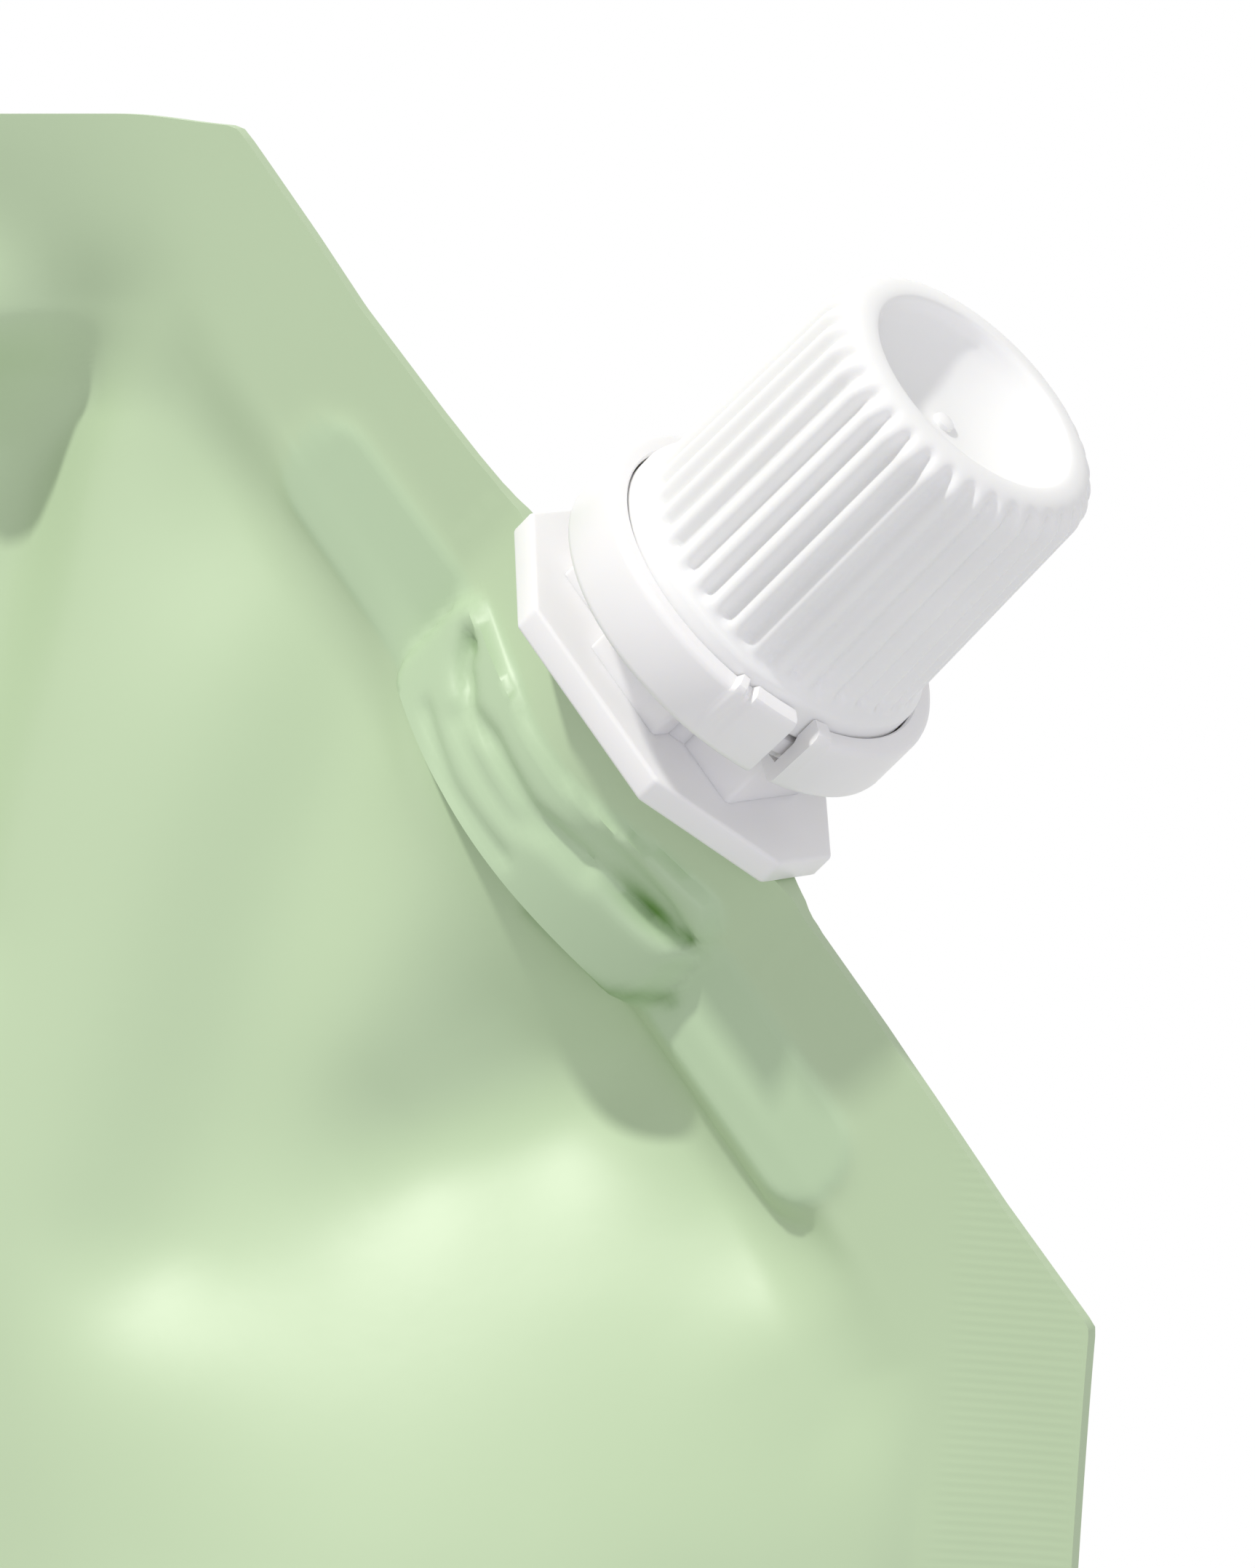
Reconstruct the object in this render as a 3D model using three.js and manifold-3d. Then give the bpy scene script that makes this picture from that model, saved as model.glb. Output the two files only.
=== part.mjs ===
// Spouted stand-up refill pouch for shower gel, in millimetres, +Z up.
// The pouch stands on its base rim at z = 0, its width runs along X and its front faces -Y.
// A welded spout with a ribbed screw cap sits on the cut-off top right corner.

import * as THREE from 'three';
import { mergeVertices } from 'three/addons/utils/BufferGeometryUtils.js';
import Module from 'manifold-3d';

const wasm = await Module();
wasm.setup();

// Bag
const BAG_WIDTH = 170;
const BAG_HEIGHT = 250;
const CUT_LENGTH = 98.8;
const CUT_ANGLE = 49;
const BASE_DEPTH = 72;
const GUSSET_FOLD = 42;
const SEAL_THICKNESS = 0.7;
const TOP_SEAL = 11.5;
const SIDE_SEAL = 10.5;
const CUT_SEAL = 9.5;
const RIM_WIDTH = 2;
const CORNER_RADIUS = 1.2;
const FOOT_RADIUS = 5;
const SIDE_PULL = 4;
const SIDE_SWELL = 22;
const TOP_SWELL = 14;
const CUT_SWELL = 20;
const TOP_FULLNESS = 0.16;
const BELLY_DEPTH = BASE_DEPTH / 2 - SEAL_THICKNESS / 2;

// Spout moulding
const SPOUT_OFFSET = 49.3;
const FLANGE_STANDOFF = 0.85;
const FLANGE_LENGTH = 28.8;
const FLANGE_DEPTH = 19.4;
const FLANGE_FRONT_EDGE = 14;
const FLANGE_END_EDGE = 6.1;
const FLANGE_THICKNESS = 2.05;
const BOAT_TOP = 5.2;
const BOAT_HEIGHT = 9;
const BOAT_LENGTH = 28.6;
const BOAT_HALF_DEPTH = 5.6;
const BOAT_TIP = 1.3;
const BOAT_TUBE = 5.2;
const BOAT_RIB = 1.2;
const BOAT_RIBS = 3;
const WING_LENGTH = 61.6;
const WING_HEIGHT = 7;
const WING_THICKNESS = 1.6;
const NECK_RADIUS = 7;
const BORE_RADIUS = 6;
const WELL_RADIUS = 4.3;
const MOUTH_WALL = 1.4;
const MOUTH_HEIGHT = 25.6;
const LUG_COUNT = 4;
const LUG_WIDTH = 3.8;
const LUG_REACH = 9.4;
const COLLAR_BOTTOM = 7.9;
const COLLAR_THICKNESS = 1.4;
const COLLAR_REACH = 11.6;

// Tamper band
const BAND_RADIUS = 13.15;
const BAND_BOTTOM = 6.65;
const BAND_HEIGHT = 4.65;
const BAND_WALL = 1.15;
const BAND_HOOK = 1.3;
const BAND_GAP = 1.8;
const BAND_GAP_ANGLE = -42.4;
const BAND_END_BLOCK = 13;
const BAND_END_RISE = 0.45;

// Screw cap
const CAP_RADIUS = 11;
const CAP_HEIGHT = 21.6;
const CAP_DRAFT = 1.5;
const CAP_RIBS = 36;
const RIB_DEPTH = 0.5;
const RIB_START = 12.9;
const CAP_FOOT_HEIGHT = 2.9;
const CAP_SHOULDER = 2.4;
const CAP_WALL = 2;
const DISH_RADIUS = 7.7;
const DISH_DEPTH = 3.2;
const DISH_WALL = 1.1;
const GATE_RADIUS = 0.7;

// Clearances between pieces
const CLEARANCE = 0.3;
const WELD_FILM = 0.8;
const FILM_GROOVE = 0.5;
const FILM_HOLLOW = 1.6;
const NECK_FILM_SPAN = 18;
const THREAD_ROOM = 1.2;

const EDGE_BREAK = 0.3;
const DEG = Math.PI / 180;

const cutAlong = new THREE.Vector3(Math.cos(CUT_ANGLE * DEG), 0, -Math.sin(CUT_ANGLE * DEG));
const spoutAxis = new THREE.Vector3(Math.sin(CUT_ANGLE * DEG), 0, Math.cos(CUT_ANGLE * DEG));
const cutTop = new THREE.Vector3(BAG_WIDTH / 2 - CUT_LENGTH * cutAlong.x, 0, BAG_HEIGHT);
const cutFoot = cutTop.clone().addScaledVector(cutAlong, CUT_LENGTH);
const bagCorners = [
  new THREE.Vector2(-BAG_WIDTH / 2, 0),
  new THREE.Vector2(BAG_WIDTH / 2, 0),
  new THREE.Vector2(cutFoot.x, cutFoot.z),
  new THREE.Vector2(cutTop.x, cutTop.z),
  new THREE.Vector2(-BAG_WIDTH / 2, BAG_HEIGHT),
];
const spoutSeat = cutTop.clone()
  .addScaledVector(cutAlong, SPOUT_OFFSET)
  .addScaledVector(spoutAxis, FLANGE_STANDOFF);
const spoutPlacement = new THREE.Matrix4()
  .makeRotationY(CUT_ANGLE * DEG)
  .setPosition(spoutSeat);

const filmMaterial = new THREE.MeshStandardMaterial({ color: 0xcde2be, roughness: 0.5, metalness: 0 });
const spoutMaterial = new THREE.MeshStandardMaterial({ color: 0xeeedef, roughness: 0.4, metalness: 0 });
const capMaterial = new THREE.MeshStandardMaterial({ color: 0xf1eff0, roughness: 0.35, metalness: 0 });
const bandMaterial = new THREE.MeshStandardMaterial({ color: 0xeeecee, roughness: 0.38, metalness: 0 });

// Closed mesh to boolean solid, and back.
function toSolid(geometry) {
  const bare = geometry.index ? geometry.toNonIndexed() : geometry.clone();
  bare.deleteAttribute('normal');
  bare.deleteAttribute('uv');
  const merged = mergeVertices(bare, 1e-4);
  return new wasm.Manifold(new wasm.Mesh({
    numProp: 3,
    vertProperties: new Float32Array(merged.attributes.position.array),
    triVerts: new Uint32Array(merged.index.array),
  }));
}

function toGeometry(solid) {
  const mesh = solid.getMesh();
  const geometry = new THREE.BufferGeometry();
  geometry.setAttribute('position', new THREE.BufferAttribute(new Float32Array(mesh.vertProperties), 3));
  geometry.setIndex(new THREE.BufferAttribute(new Uint32Array(mesh.triVerts), 1));
  geometry.computeVertexNormals();
  return geometry;
}

function joinAll(solids) {
  return solids.reduce((joined, solid) => joined.add(solid));
}

// Indexed mesh from a list of points and a list of triangles.
function meshFrom(points, triangles) {
  const geometry = new THREE.BufferGeometry();
  geometry.setAttribute('position', new THREE.Float32BufferAttribute(points.flat(), 3));
  geometry.setIndex(triangles.flat());
  return geometry;
}

// Two grids of points, front and back, closed along their shared border into one solid.
function closedSheet(rows, columns, pointAt) {
  const points = [];
  const triangles = [];
  const index = (side, row, column) => (side * rows + row) * columns + column;
  for (const side of [0, 1]) {
    for (let row = 0; row < rows; row += 1) {
      for (let column = 0; column < columns; column += 1) {
        points.push(pointAt(side, row, column));
      }
    }
  }
  const quad = (a, b, c, d) => triangles.push([a, b, c], [a, c, d]);
  for (let row = 0; row < rows - 1; row += 1) {
    for (let column = 0; column < columns - 1; column += 1) {
      quad(index(0, row, column), index(0, row + 1, column),
        index(0, row + 1, column + 1), index(0, row, column + 1));
      quad(index(1, row, column), index(1, row, column + 1),
        index(1, row + 1, column + 1), index(1, row + 1, column));
    }
  }
  for (let column = 0; column < columns - 1; column += 1) {
    quad(index(0, 0, column), index(0, 0, column + 1), index(1, 0, column + 1), index(1, 0, column));
    const last = rows - 1;
    quad(index(0, last, column + 1), index(0, last, column), index(1, last, column), index(1, last, column + 1));
  }
  for (let row = 0; row < rows - 1; row += 1) {
    quad(index(0, row + 1, 0), index(0, row, 0), index(1, row, 0), index(1, row + 1, 0));
    const last = columns - 1;
    quad(index(0, row, last), index(0, row + 1, last), index(1, row + 1, last), index(1, row, last));
  }
  return meshFrom(points, triangles);
}

// Stack of closed rings, each with as many points, capped by a fan at both ends.
function ringStack(rings, bottomCentre, topCentre) {
  const count = rings[0].length;
  const points = [...rings.flat(), bottomCentre, topCentre];
  const bottom = points.length - 2;
  const top = points.length - 1;
  const triangles = [];
  for (let column = 0; column < count; column += 1) {
    const next = (column + 1) % count;
    for (let row = 0; row < rings.length - 1; row += 1) {
      const low = row * count;
      const high = low + count;
      triangles.push([low + column, low + next, high + next], [low + column, high + next, high + column]);
    }
    const rim = (rings.length - 1) * count;
    triangles.push([bottom, next, column], [top, rim + column, rim + next]);
  }
  return meshFrom(points, triangles);
}

// Revolved solid about +Z from [radius, height] pairs.
function revolve(profile, segments = 48) {
  const outline = profile.map(([radius, height]) => new THREE.Vector2(radius, height));
  const geometry = new THREE.LatheGeometry(outline, segments);
  geometry.rotateX(Math.PI / 2);
  return geometry;
}

// Ring sector about +Z with flat ends, its section walked anticlockwise as [radius, height] pairs.
function ringSector(section, startAngle, endAngle, steps) {
  const points = [];
  const triangles = [];
  const count = section.length;
  for (let step = 0; step <= steps; step += 1) {
    const angle = (startAngle + (endAngle - startAngle) * step / steps) * DEG;
    for (const [radius, height] of section) {
      points.push([radius * Math.cos(angle), radius * Math.sin(angle), height]);
    }
  }
  for (let step = 0; step < steps; step += 1) {
    for (let k = 0; k < count; k += 1) {
      const a = step * count + k;
      const b = step * count + (k + 1) % count;
      triangles.push([a, a + count, b + count], [a, b + count, b]);
    }
  }
  const faces = THREE.ShapeUtils.triangulateShape(section.map(([r, h]) => new THREE.Vector2(r, h)), []);
  const last = steps * count;
  for (const [a, b, c] of faces) {
    triangles.push([a, b, c], [last + a, last + c, last + b]);
  }
  return meshFrom(points, triangles);
}

// Straight prism on a closed outline of [x, y] pairs, from one height to another.
function prism(outline, bottom, height, bevel = 0) {
  const shape = new THREE.Shape(outline.map(([x, y]) => new THREE.Vector2(x, y)));
  const geometry = new THREE.ExtrudeGeometry(shape, {
    depth: height - 2 * bevel,
    bevelEnabled: bevel > 0,
    bevelThickness: bevel,
    bevelSize: bevel,
    bevelOffset: -bevel,
    bevelSegments: 1,
  });
  geometry.translate(0, 0, bottom + bevel);
  return geometry;
}

// Rise from 0 at a seal's inner edge towards 1, over about the given length.
function swell(distance, length) {
  return 1 - Math.exp(-Math.max(distance, 0) / length);
}

function smooth(value) {
  const t = Math.min(Math.max(value, 0), 1);
  return t * t * (3 - 2 * t);
}

// Share of the base depth that the filled bag keeps at each share of its height.
function fullness(share) {
  return TOP_FULLNESS + (1 - TOP_FULLNESS) * (1 - Math.min(share, 1) ** 2) ** 1.1;
}

// The side seals pull in between the base and the foot of the cut.
function waist(z) {
  const share = Math.min(Math.max(z / cutFoot.z, 0), 1);
  return 1 - SIDE_PULL / (BAG_WIDTH / 2) * Math.sin(Math.PI * share);
}

// Soft folds of the filled film: from and to as offsets from the top of the cut, width and rise.
const frontFolds = [
  { from: [-60, -22], to: [-2, -14.6], width: 4, rise: 2.6 },
  { from: [-2, -14.6], to: [14, -33], width: 5, rise: 2 },
  { from: [4, -36], to: [-2, -74], width: 7, rise: -2.6 },
  { from: [13, -66], to: [26, -54], width: 6, rise: -3.6 },
  { from: [20, -63], to: [33, -62], width: 5, rise: 1.8 },
  { from: [37, -64], to: [46, -70], width: 3.5, rise: -0.9 },
  { from: [42, -78], to: [47, -74], width: 4, rise: -0.9 },
  { from: [-40, -60], to: [-20, -110], width: 11, rise: -3 },
  { from: [-78, -70], to: [-62, -130], width: 10, rise: -2.5 },
  { from: [44, -96], to: [34, -130], width: 9, rise: -2.2 },
  { from: [-10, -120], to: [10, -165], width: 14, rise: -1.8 },
];
const backFolds = [
  { from: [-60, -24], to: [-4, -16], width: 5, rise: 2 },
  { from: [0, -40], to: [14, -70], width: 8, rise: -2.4 },
  { from: [-70, -60], to: [-48, -110], width: 11, rise: -3 },
  { from: [40, -92], to: [28, -134], width: 10, rise: -2.4 },
  { from: [-30, -110], to: [-8, -160], width: 14, rise: -2 },
];

function foldRise(folds, x, z) {
  let total = 0;
  for (const { from, to, width, rise } of folds) {
    const along = new THREE.Vector2(to[0] - from[0], to[1] - from[1]);
    const place = new THREE.Vector2(x - cutTop.x - from[0], z - cutTop.z - from[1]);
    const share = Math.min(Math.max(place.dot(along) / along.lengthSq(), 0), 1);
    const distance = place.addScaledVector(along, -share).length();
    total += rise * Math.exp(-((distance / width) ** 2));
  }
  return total;
}

// Half depth of the filled bag at a place on its face, measured from the seal plane.
function bagDepth(x, z, folds) {
  const sideRoom = BAG_WIDTH / 2 - SIDE_SEAL;
  const acrossFull = swell(sideRoom, SIDE_SWELL) ** 2;
  const across = swell(x + sideRoom, SIDE_SWELL) * swell(sideRoom - x, SIDE_SWELL) / acrossFull;
  const top = swell(BAG_HEIGHT - TOP_SEAL - z, TOP_SWELL);
  const cutDistance = -((x - cutTop.x) * spoutAxis.x + (z - cutTop.z) * spoutAxis.z) - CUT_SEAL;
  const cut = swell(cutDistance, CUT_SWELL);
  const belly = BELLY_DEPTH * across * top * cut * fullness(z / BAG_HEIGHT);
  const inset = Math.min(x + sideRoom, sideRoom - x, BAG_HEIGHT - TOP_SEAL - z, cutDistance, z);
  const room = smooth(inset / 8);
  return SEAL_THICKNESS / 2 + Math.max(belly + room * foldRise(folds, x, z), 0);
}

// Corner of the bag's outline moved inwards by the same distance from both its edges.
function insetCorner(corners, k, inset) {
  const here = corners[k];
  const before = here.clone().sub(corners[(k + corners.length - 1) % corners.length]).normalize();
  const after = corners[(k + 1) % corners.length].clone().sub(here).normalize();
  const inBefore = new THREE.Vector2(-before.y, before.x);
  const inAfter = new THREE.Vector2(-after.y, after.x);
  const bisector = inBefore.clone().add(inAfter);
  return here.clone().addScaledVector(bisector, inset / (1 + inBefore.dot(inAfter)));
}

// Bag as rings that follow the outline: straight insets over the seals, then shrinking to the middle.
function bagBlank() {
  const spacing = [8.5, 11, 6.5, 9, 12];
  const crowding = [0.1, 0, 0, 0, 0];
  const insets = [0, SIDE_SEAL - 1.5, SIDE_SEAL + 1, SIDE_SEAL + 3.5, SIDE_SEAL + 7.5];
  const shrinks = [0.91, 0.81, 0.7, 0.57, 0.43, 0.28, 0.13];
  const middle = new THREE.Vector2(-BAG_WIDTH * 0.04, BAG_HEIGHT * 0.42);
  const rings = insets.map((inset) => {
    const ring = [];
    bagCorners.forEach((corner, k) => {
      const next = (k + 1) % bagCorners.length;
      const steps = Math.round(corner.distanceTo(bagCorners[next]) / spacing[k]);
      const start = insetCorner(bagCorners, k, inset);
      const end = insetCorner(bagCorners, next, inset);
      for (let step = 0; step < steps; step += 1) {
        const share = step / steps;
        const crowded = share - crowding[k] * Math.sin(2 * Math.PI * share);
        ring.push(start.clone().lerp(end, crowded));
      }
    });
    return ring;
  });
  const innermost = rings.at(-1);
  for (const shrink of shrinks) {
    rings.push(innermost.map((point) => middle.clone().lerp(point, shrink)));
  }
  const front = ({ x, y: z }) => [x * waist(z), -bagDepth(x, z, frontFolds), z];
  const back = ({ x, y: z }) => [x * waist(z), bagDepth(x, z, backFolds), z];
  const backRings = [...rings].reverse().map((ring) => ring.map(back));
  const frontRings = rings.map((ring) => ring.map(front));
  return toSolid(ringStack([...backRings, ...frontRings], back(middle), front(middle)));
}

// Flat outline of the bag with its small corner radii, as a thick plate that trims the blank.
function bagOutline() {
  const radii = [FOOT_RADIUS, FOOT_RADIUS, CORNER_RADIUS, CORNER_RADIUS, CORNER_RADIUS];
  const outline = [];
  bagCorners.forEach((corner, k) => {
    const before = bagCorners[(k + bagCorners.length - 1) % bagCorners.length];
    const after = bagCorners[(k + 1) % bagCorners.length];
    const toBefore = before.clone().sub(corner).setLength(radii[k]);
    const toAfter = after.clone().sub(corner).setLength(radii[k]);
    const curve = new THREE.QuadraticBezierCurve(corner.clone().add(toBefore), corner, corner.clone().add(toAfter));
    outline.push(...curve.getPoints(3).map((point) => [point.x, point.y]));
  });
  const plate = prism(outline, -BASE_DEPTH, 2 * BASE_DEPTH);
  plate.rotateX(Math.PI / 2);
  return toSolid(plate);
}

// Hollow under the bag: the bottom film hangs as a tent between the front and back of the base rim.
function gussetHollow() {
  const reach = BAG_WIDTH / 2 - SIDE_SEAL - 1.2;
  const stations = 21;
  const sectionSteps = 10;
  const below = -2;
  const rings = [];
  for (let k = 0; k < stations; k += 1) {
    const x = -reach * Math.cos(Math.PI * k / (stations - 1));
    const half = Math.max(bagDepth(x, 0, []) - RIM_WIDTH, 0.4);
    const ridge = Math.sqrt(GUSSET_FOLD ** 2 - Math.min(half + RIM_WIDTH, GUSSET_FOLD) ** 2);
    const ring = [];
    for (let step = 0; step <= sectionSteps; step += 1) {
      const side = 1 - 2 * step / sectionSteps;
      const z = ridge * (1 - Math.abs(side) ** 1.6);
      ring.push([x * waist(z), side * half, z]);
    }
    ring.push([x, -half, below], [x, half, below]);
    rings.push(ring);
  }
  return toSolid(ringStack(rings, [-reach, 0, 0], [reach, 0, 0]));
}

// Outline of the thin weld wings, a long bar with round ends, across the spout axis.
function wingOutline(grow) {
  const radius = WING_HEIGHT / 2 + grow;
  const straight = WING_LENGTH / 2 + grow - radius;
  const steps = 8;
  const outline = [];
  for (let step = 0; step <= steps; step += 1) {
    const angle = -Math.PI / 2 + Math.PI * step / steps;
    outline.push([straight + radius * Math.cos(angle), radius * Math.sin(angle)]);
  }
  return [...outline, ...outline.map(([x, y]) => [-x, -y])];
}

// The wings as a plate in the seal plane, grown on all sides by the same amount.
function wingPlate(grow, bevel) {
  const plate = prism(wingOutline(grow), -WING_THICKNESS / 2 - grow, WING_THICKNESS + 2 * grow, bevel);
  plate.rotateX(Math.PI / 2);
  plate.translate(0, 0, -BOAT_TOP - BOAT_HEIGHT / 2);
  return plate;
}

// Half depth of the eye shaped weld ribs at a place along the cut.
function eyeDepth(x) {
  const share = Math.min(Math.abs(x) / (BOAT_LENGTH / 2), 1);
  return BOAT_TIP + (BOAT_HALF_DEPTH - BOAT_TIP) * Math.cos(share * Math.PI / 2) ** 0.9;
}

// Eye shaped outline of one weld rib, seen along the spout axis.
function eyeOutline(grow) {
  const outline = [];
  const steps = 14;
  for (let step = 0; step <= steps; step += 1) {
    const x = BOAT_LENGTH / 2 * Math.cos(Math.PI * step / steps);
    outline.push([x + grow * Math.sign(Math.round(x)) * (step % steps === 0 ? 1 : 0), eyeDepth(x) + grow]);
  }
  return [...outline, ...outline.map(([x, y]) => [-x, -y])];
}

// Height of the top of each weld rib, in the spout's frame.
function ribTop(k) {
  return -BOAT_TOP - k * (BOAT_HEIGHT - BOAT_RIB) / (BOAT_RIBS - 1);
}

// Weld base of the spout, or with growth the pocket that the film makes round it.
function boatSolid(grow) {
  const parts = [toSolid(wingPlate(grow, EDGE_BREAK))];
  for (let k = 0; k < BOAT_RIBS; k += 1) {
    parts.push(toSolid(prism(eyeOutline(grow), ribTop(k) - BOAT_RIB - grow, BOAT_RIB + 2 * grow)));
  }
  const tube = BOAT_TUBE + grow;
  const foot = -BOAT_TOP - BOAT_HEIGHT - grow;
  parts.push(toSolid(revolve([[0, foot], [tube, foot], [tube, CLEARANCE], [0, CLEARANCE]], 32)));
  return joinAll(parts);
}

// Half depth of the film drawn over the neck, between the cut edge and the first weld rib.
function neckFilm(along) {
  const share = Math.min(Math.abs(along) / NECK_FILM_SPAN, 1);
  return (BOAT_TUBE + WELD_FILM) * Math.cos(share * Math.PI / 2) ** 1.5;
}

// Half depth of the film between two weld ribs: it rests on the tube and dips into the hollows beside it.
function grooveFilm(along) {
  const tube = Math.sqrt(Math.max(BOAT_TUBE ** 2 - along ** 2, 0));
  const rest = WING_THICKNESS / 2 + WELD_FILM;
  const slack = smooth((Math.abs(along) - BOAT_TUBE) / 3) * smooth((BOAT_LENGTH / 2 - 1 - Math.abs(along)) / 3);
  const drawn = eyeDepth(along) + WELD_FILM - FILM_GROOVE - FILM_HOLLOW * slack;
  return Math.max(drawn, Math.min(tube + WELD_FILM - 0.1, eyeDepth(along)), rest);
}

// Film relief over the neck and the weld ribs, as rows across the spout axis.
function weldRelief() {
  const end = BOAT_LENGTH / 2;
  const plateau = CLEARANCE + 0.05;
  const ridge = (along) => (Math.abs(along) > end + 0.7 ? 0.1 : eyeDepth(along) + WELD_FILM);
  const foot = (along) => (Math.abs(along) > end + 0.7 ? 0.1 : Math.max(neckFilm(along), eyeDepth(along) * 0.72));
  const rows = [
    [-CLEARANCE, neckFilm],
    [-BOAT_TOP * 0.5, neckFilm],
    [-BOAT_TOP + 1, foot],
  ];
  for (let k = 0; k < BOAT_RIBS; k += 1) {
    rows.push([ribTop(k) + plateau, ridge], [ribTop(k) - BOAT_RIB - plateau, ridge]);
    if (k < BOAT_RIBS - 1) {
      const groove = (ribTop(k) - BOAT_RIB + ribTop(k + 1)) / 2;
      rows.push([groove, (along) => (Math.abs(along) > end + 0.7 ? 0.1 : grooveFilm(along))]);
    }
  }
  rows.push([-BOAT_TOP - BOAT_HEIGHT - 1.6, () => 0.1]);
  const halfColumns = [0, 2.2, 4.4, 6.4, 8.4, 10.4, 12.4, end, end + 0.6, end + 1.4, NECK_FILM_SPAN];
  const columns = [...halfColumns.slice(1).reverse().map((along) => -along), ...halfColumns];
  return closedSheet(rows.length, columns.length, (side, row, column) => {
    const along = columns[column];
    const [height, film] = rows[row];
    const depth = Math.max(film(along), 0.1);
    const drop = row === 0 ? FLANGE_STANDOFF * smooth((Math.abs(along) - end) / (NECK_FILM_SPAN - end)) : 0;
    return [along, side === 0 ? -depth : depth, height - drop];
  });
}

function pouchBody() {
  const relief = weldRelief();
  relief.applyMatrix4(spoutPlacement);
  const wingFilm = wingPlate(WELD_FILM - 0.1, 0.5);
  wingFilm.applyMatrix4(spoutPlacement);
  const pocket = toGeometry(boatSolid(CLEARANCE));
  pocket.applyMatrix4(spoutPlacement);
  const blank = bagBlank().intersect(bagOutline());
  const filled = joinAll([blank, toSolid(relief), toSolid(wingFilm)]);
  return toGeometry(filled.subtract(gussetHollow()).subtract(toSolid(pocket)));
}

function flangeOutline() {
  const [a, b] = [FLANGE_LENGTH / 2, FLANGE_DEPTH / 2];
  const [c, d] = [FLANGE_FRONT_EDGE / 2, FLANGE_END_EDGE / 2];
  return [[a, -d], [a, d], [c, b], [-c, b], [-a, d], [-a, -d], [-c, -b], [c, -b]];
}

function spoutBody() {
  const mouthRadius = BORE_RADIUS + MOUTH_WALL;
  const collarTop = COLLAR_BOTTOM + COLLAR_THICKNESS;
  const neck = revolve([
    [0, FLANGE_THICKNESS / 2],
    [NECK_RADIUS, FLANGE_THICKNESS / 2],
    [NECK_RADIUS, COLLAR_BOTTOM - 1],
    [NECK_RADIUS + 1, COLLAR_BOTTOM],
    [COLLAR_REACH - EDGE_BREAK, COLLAR_BOTTOM],
    [COLLAR_REACH, COLLAR_BOTTOM + EDGE_BREAK],
    [COLLAR_REACH, collarTop - EDGE_BREAK],
    [COLLAR_REACH - EDGE_BREAK, collarTop],
    [mouthRadius + 0.8, collarTop],
    [mouthRadius, collarTop + 0.8],
    [mouthRadius, MOUTH_HEIGHT - 0.5],
    [mouthRadius - 0.5, MOUTH_HEIGHT],
    [0, MOUTH_HEIGHT],
  ]);
  const foot = -BOAT_TOP - BOAT_HEIGHT;
  const bore = revolve([
    [0, foot - 1],
    [WELL_RADIUS, foot - 1],
    [WELL_RADIUS, -1],
    [BORE_RADIUS, COLLAR_BOTTOM / 2],
    [BORE_RADIUS, MOUTH_HEIGHT + 1],
    [0, MOUTH_HEIGHT + 1],
  ]);
  const lugs = [];
  for (let k = 0; k < LUG_COUNT; k += 1) {
    const lug = prism([
      [0, -LUG_WIDTH / 2], [LUG_REACH, -LUG_WIDTH * 0.35],
      [LUG_REACH, LUG_WIDTH * 0.35], [0, LUG_WIDTH / 2],
    ], FLANGE_THICKNESS / 2, COLLAR_BOTTOM + EDGE_BREAK - FLANGE_THICKNESS / 2);
    lug.rotateZ(2 * Math.PI * k / LUG_COUNT);
    lugs.push(toSolid(lug));
  }
  const flange = toSolid(prism(flangeOutline(), 0, FLANGE_THICKNESS, 0.25));
  return toGeometry(joinAll([flange, toSolid(neck), boatSolid(0), ...lugs]).subtract(toSolid(bore)));
}

function tamperBand() {
  const top = BAND_BOTTOM + BAND_HEIGHT;
  const inner = BAND_RADIUS - BAND_WALL;
  const hookTop = COLLAR_BOTTOM - CLEARANCE;
  const section = [
    [inner - BAND_HOOK, BAND_BOTTOM],
    [BAND_RADIUS - EDGE_BREAK, BAND_BOTTOM],
    [BAND_RADIUS, BAND_BOTTOM + EDGE_BREAK],
    [BAND_RADIUS, top - EDGE_BREAK],
    [BAND_RADIUS - EDGE_BREAK, top],
    [inner, top],
    [inner, hookTop],
    [inner - BAND_HOOK, hookTop - 0.3],
  ];
  const halfGap = BAND_GAP / BAND_RADIUS / 2 / DEG;
  const start = BAND_GAP_ANGLE + halfGap;
  const end = BAND_GAP_ANGLE + 360 - halfGap;
  const blockSection = [
    [inner, BAND_BOTTOM + BAND_HEIGHT * 0.55],
    [BAND_RADIUS, BAND_BOTTOM + BAND_HEIGHT * 0.45],
    [BAND_RADIUS + EDGE_BREAK, BAND_BOTTOM + BAND_HEIGHT * 0.7],
    [BAND_RADIUS + EDGE_BREAK, top],
    [BAND_RADIUS - EDGE_BREAK, top + BAND_END_RISE],
    [inner, top + BAND_END_RISE],
  ];
  return toGeometry(joinAll([
    toSolid(ringSector(section, start, end, 48)),
    toSolid(ringSector(blockSection, start, start + BAND_END_BLOCK, 4)),
    toSolid(ringSector(blockSection, end - BAND_END_BLOCK, end, 4)),
  ]));
}

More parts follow.
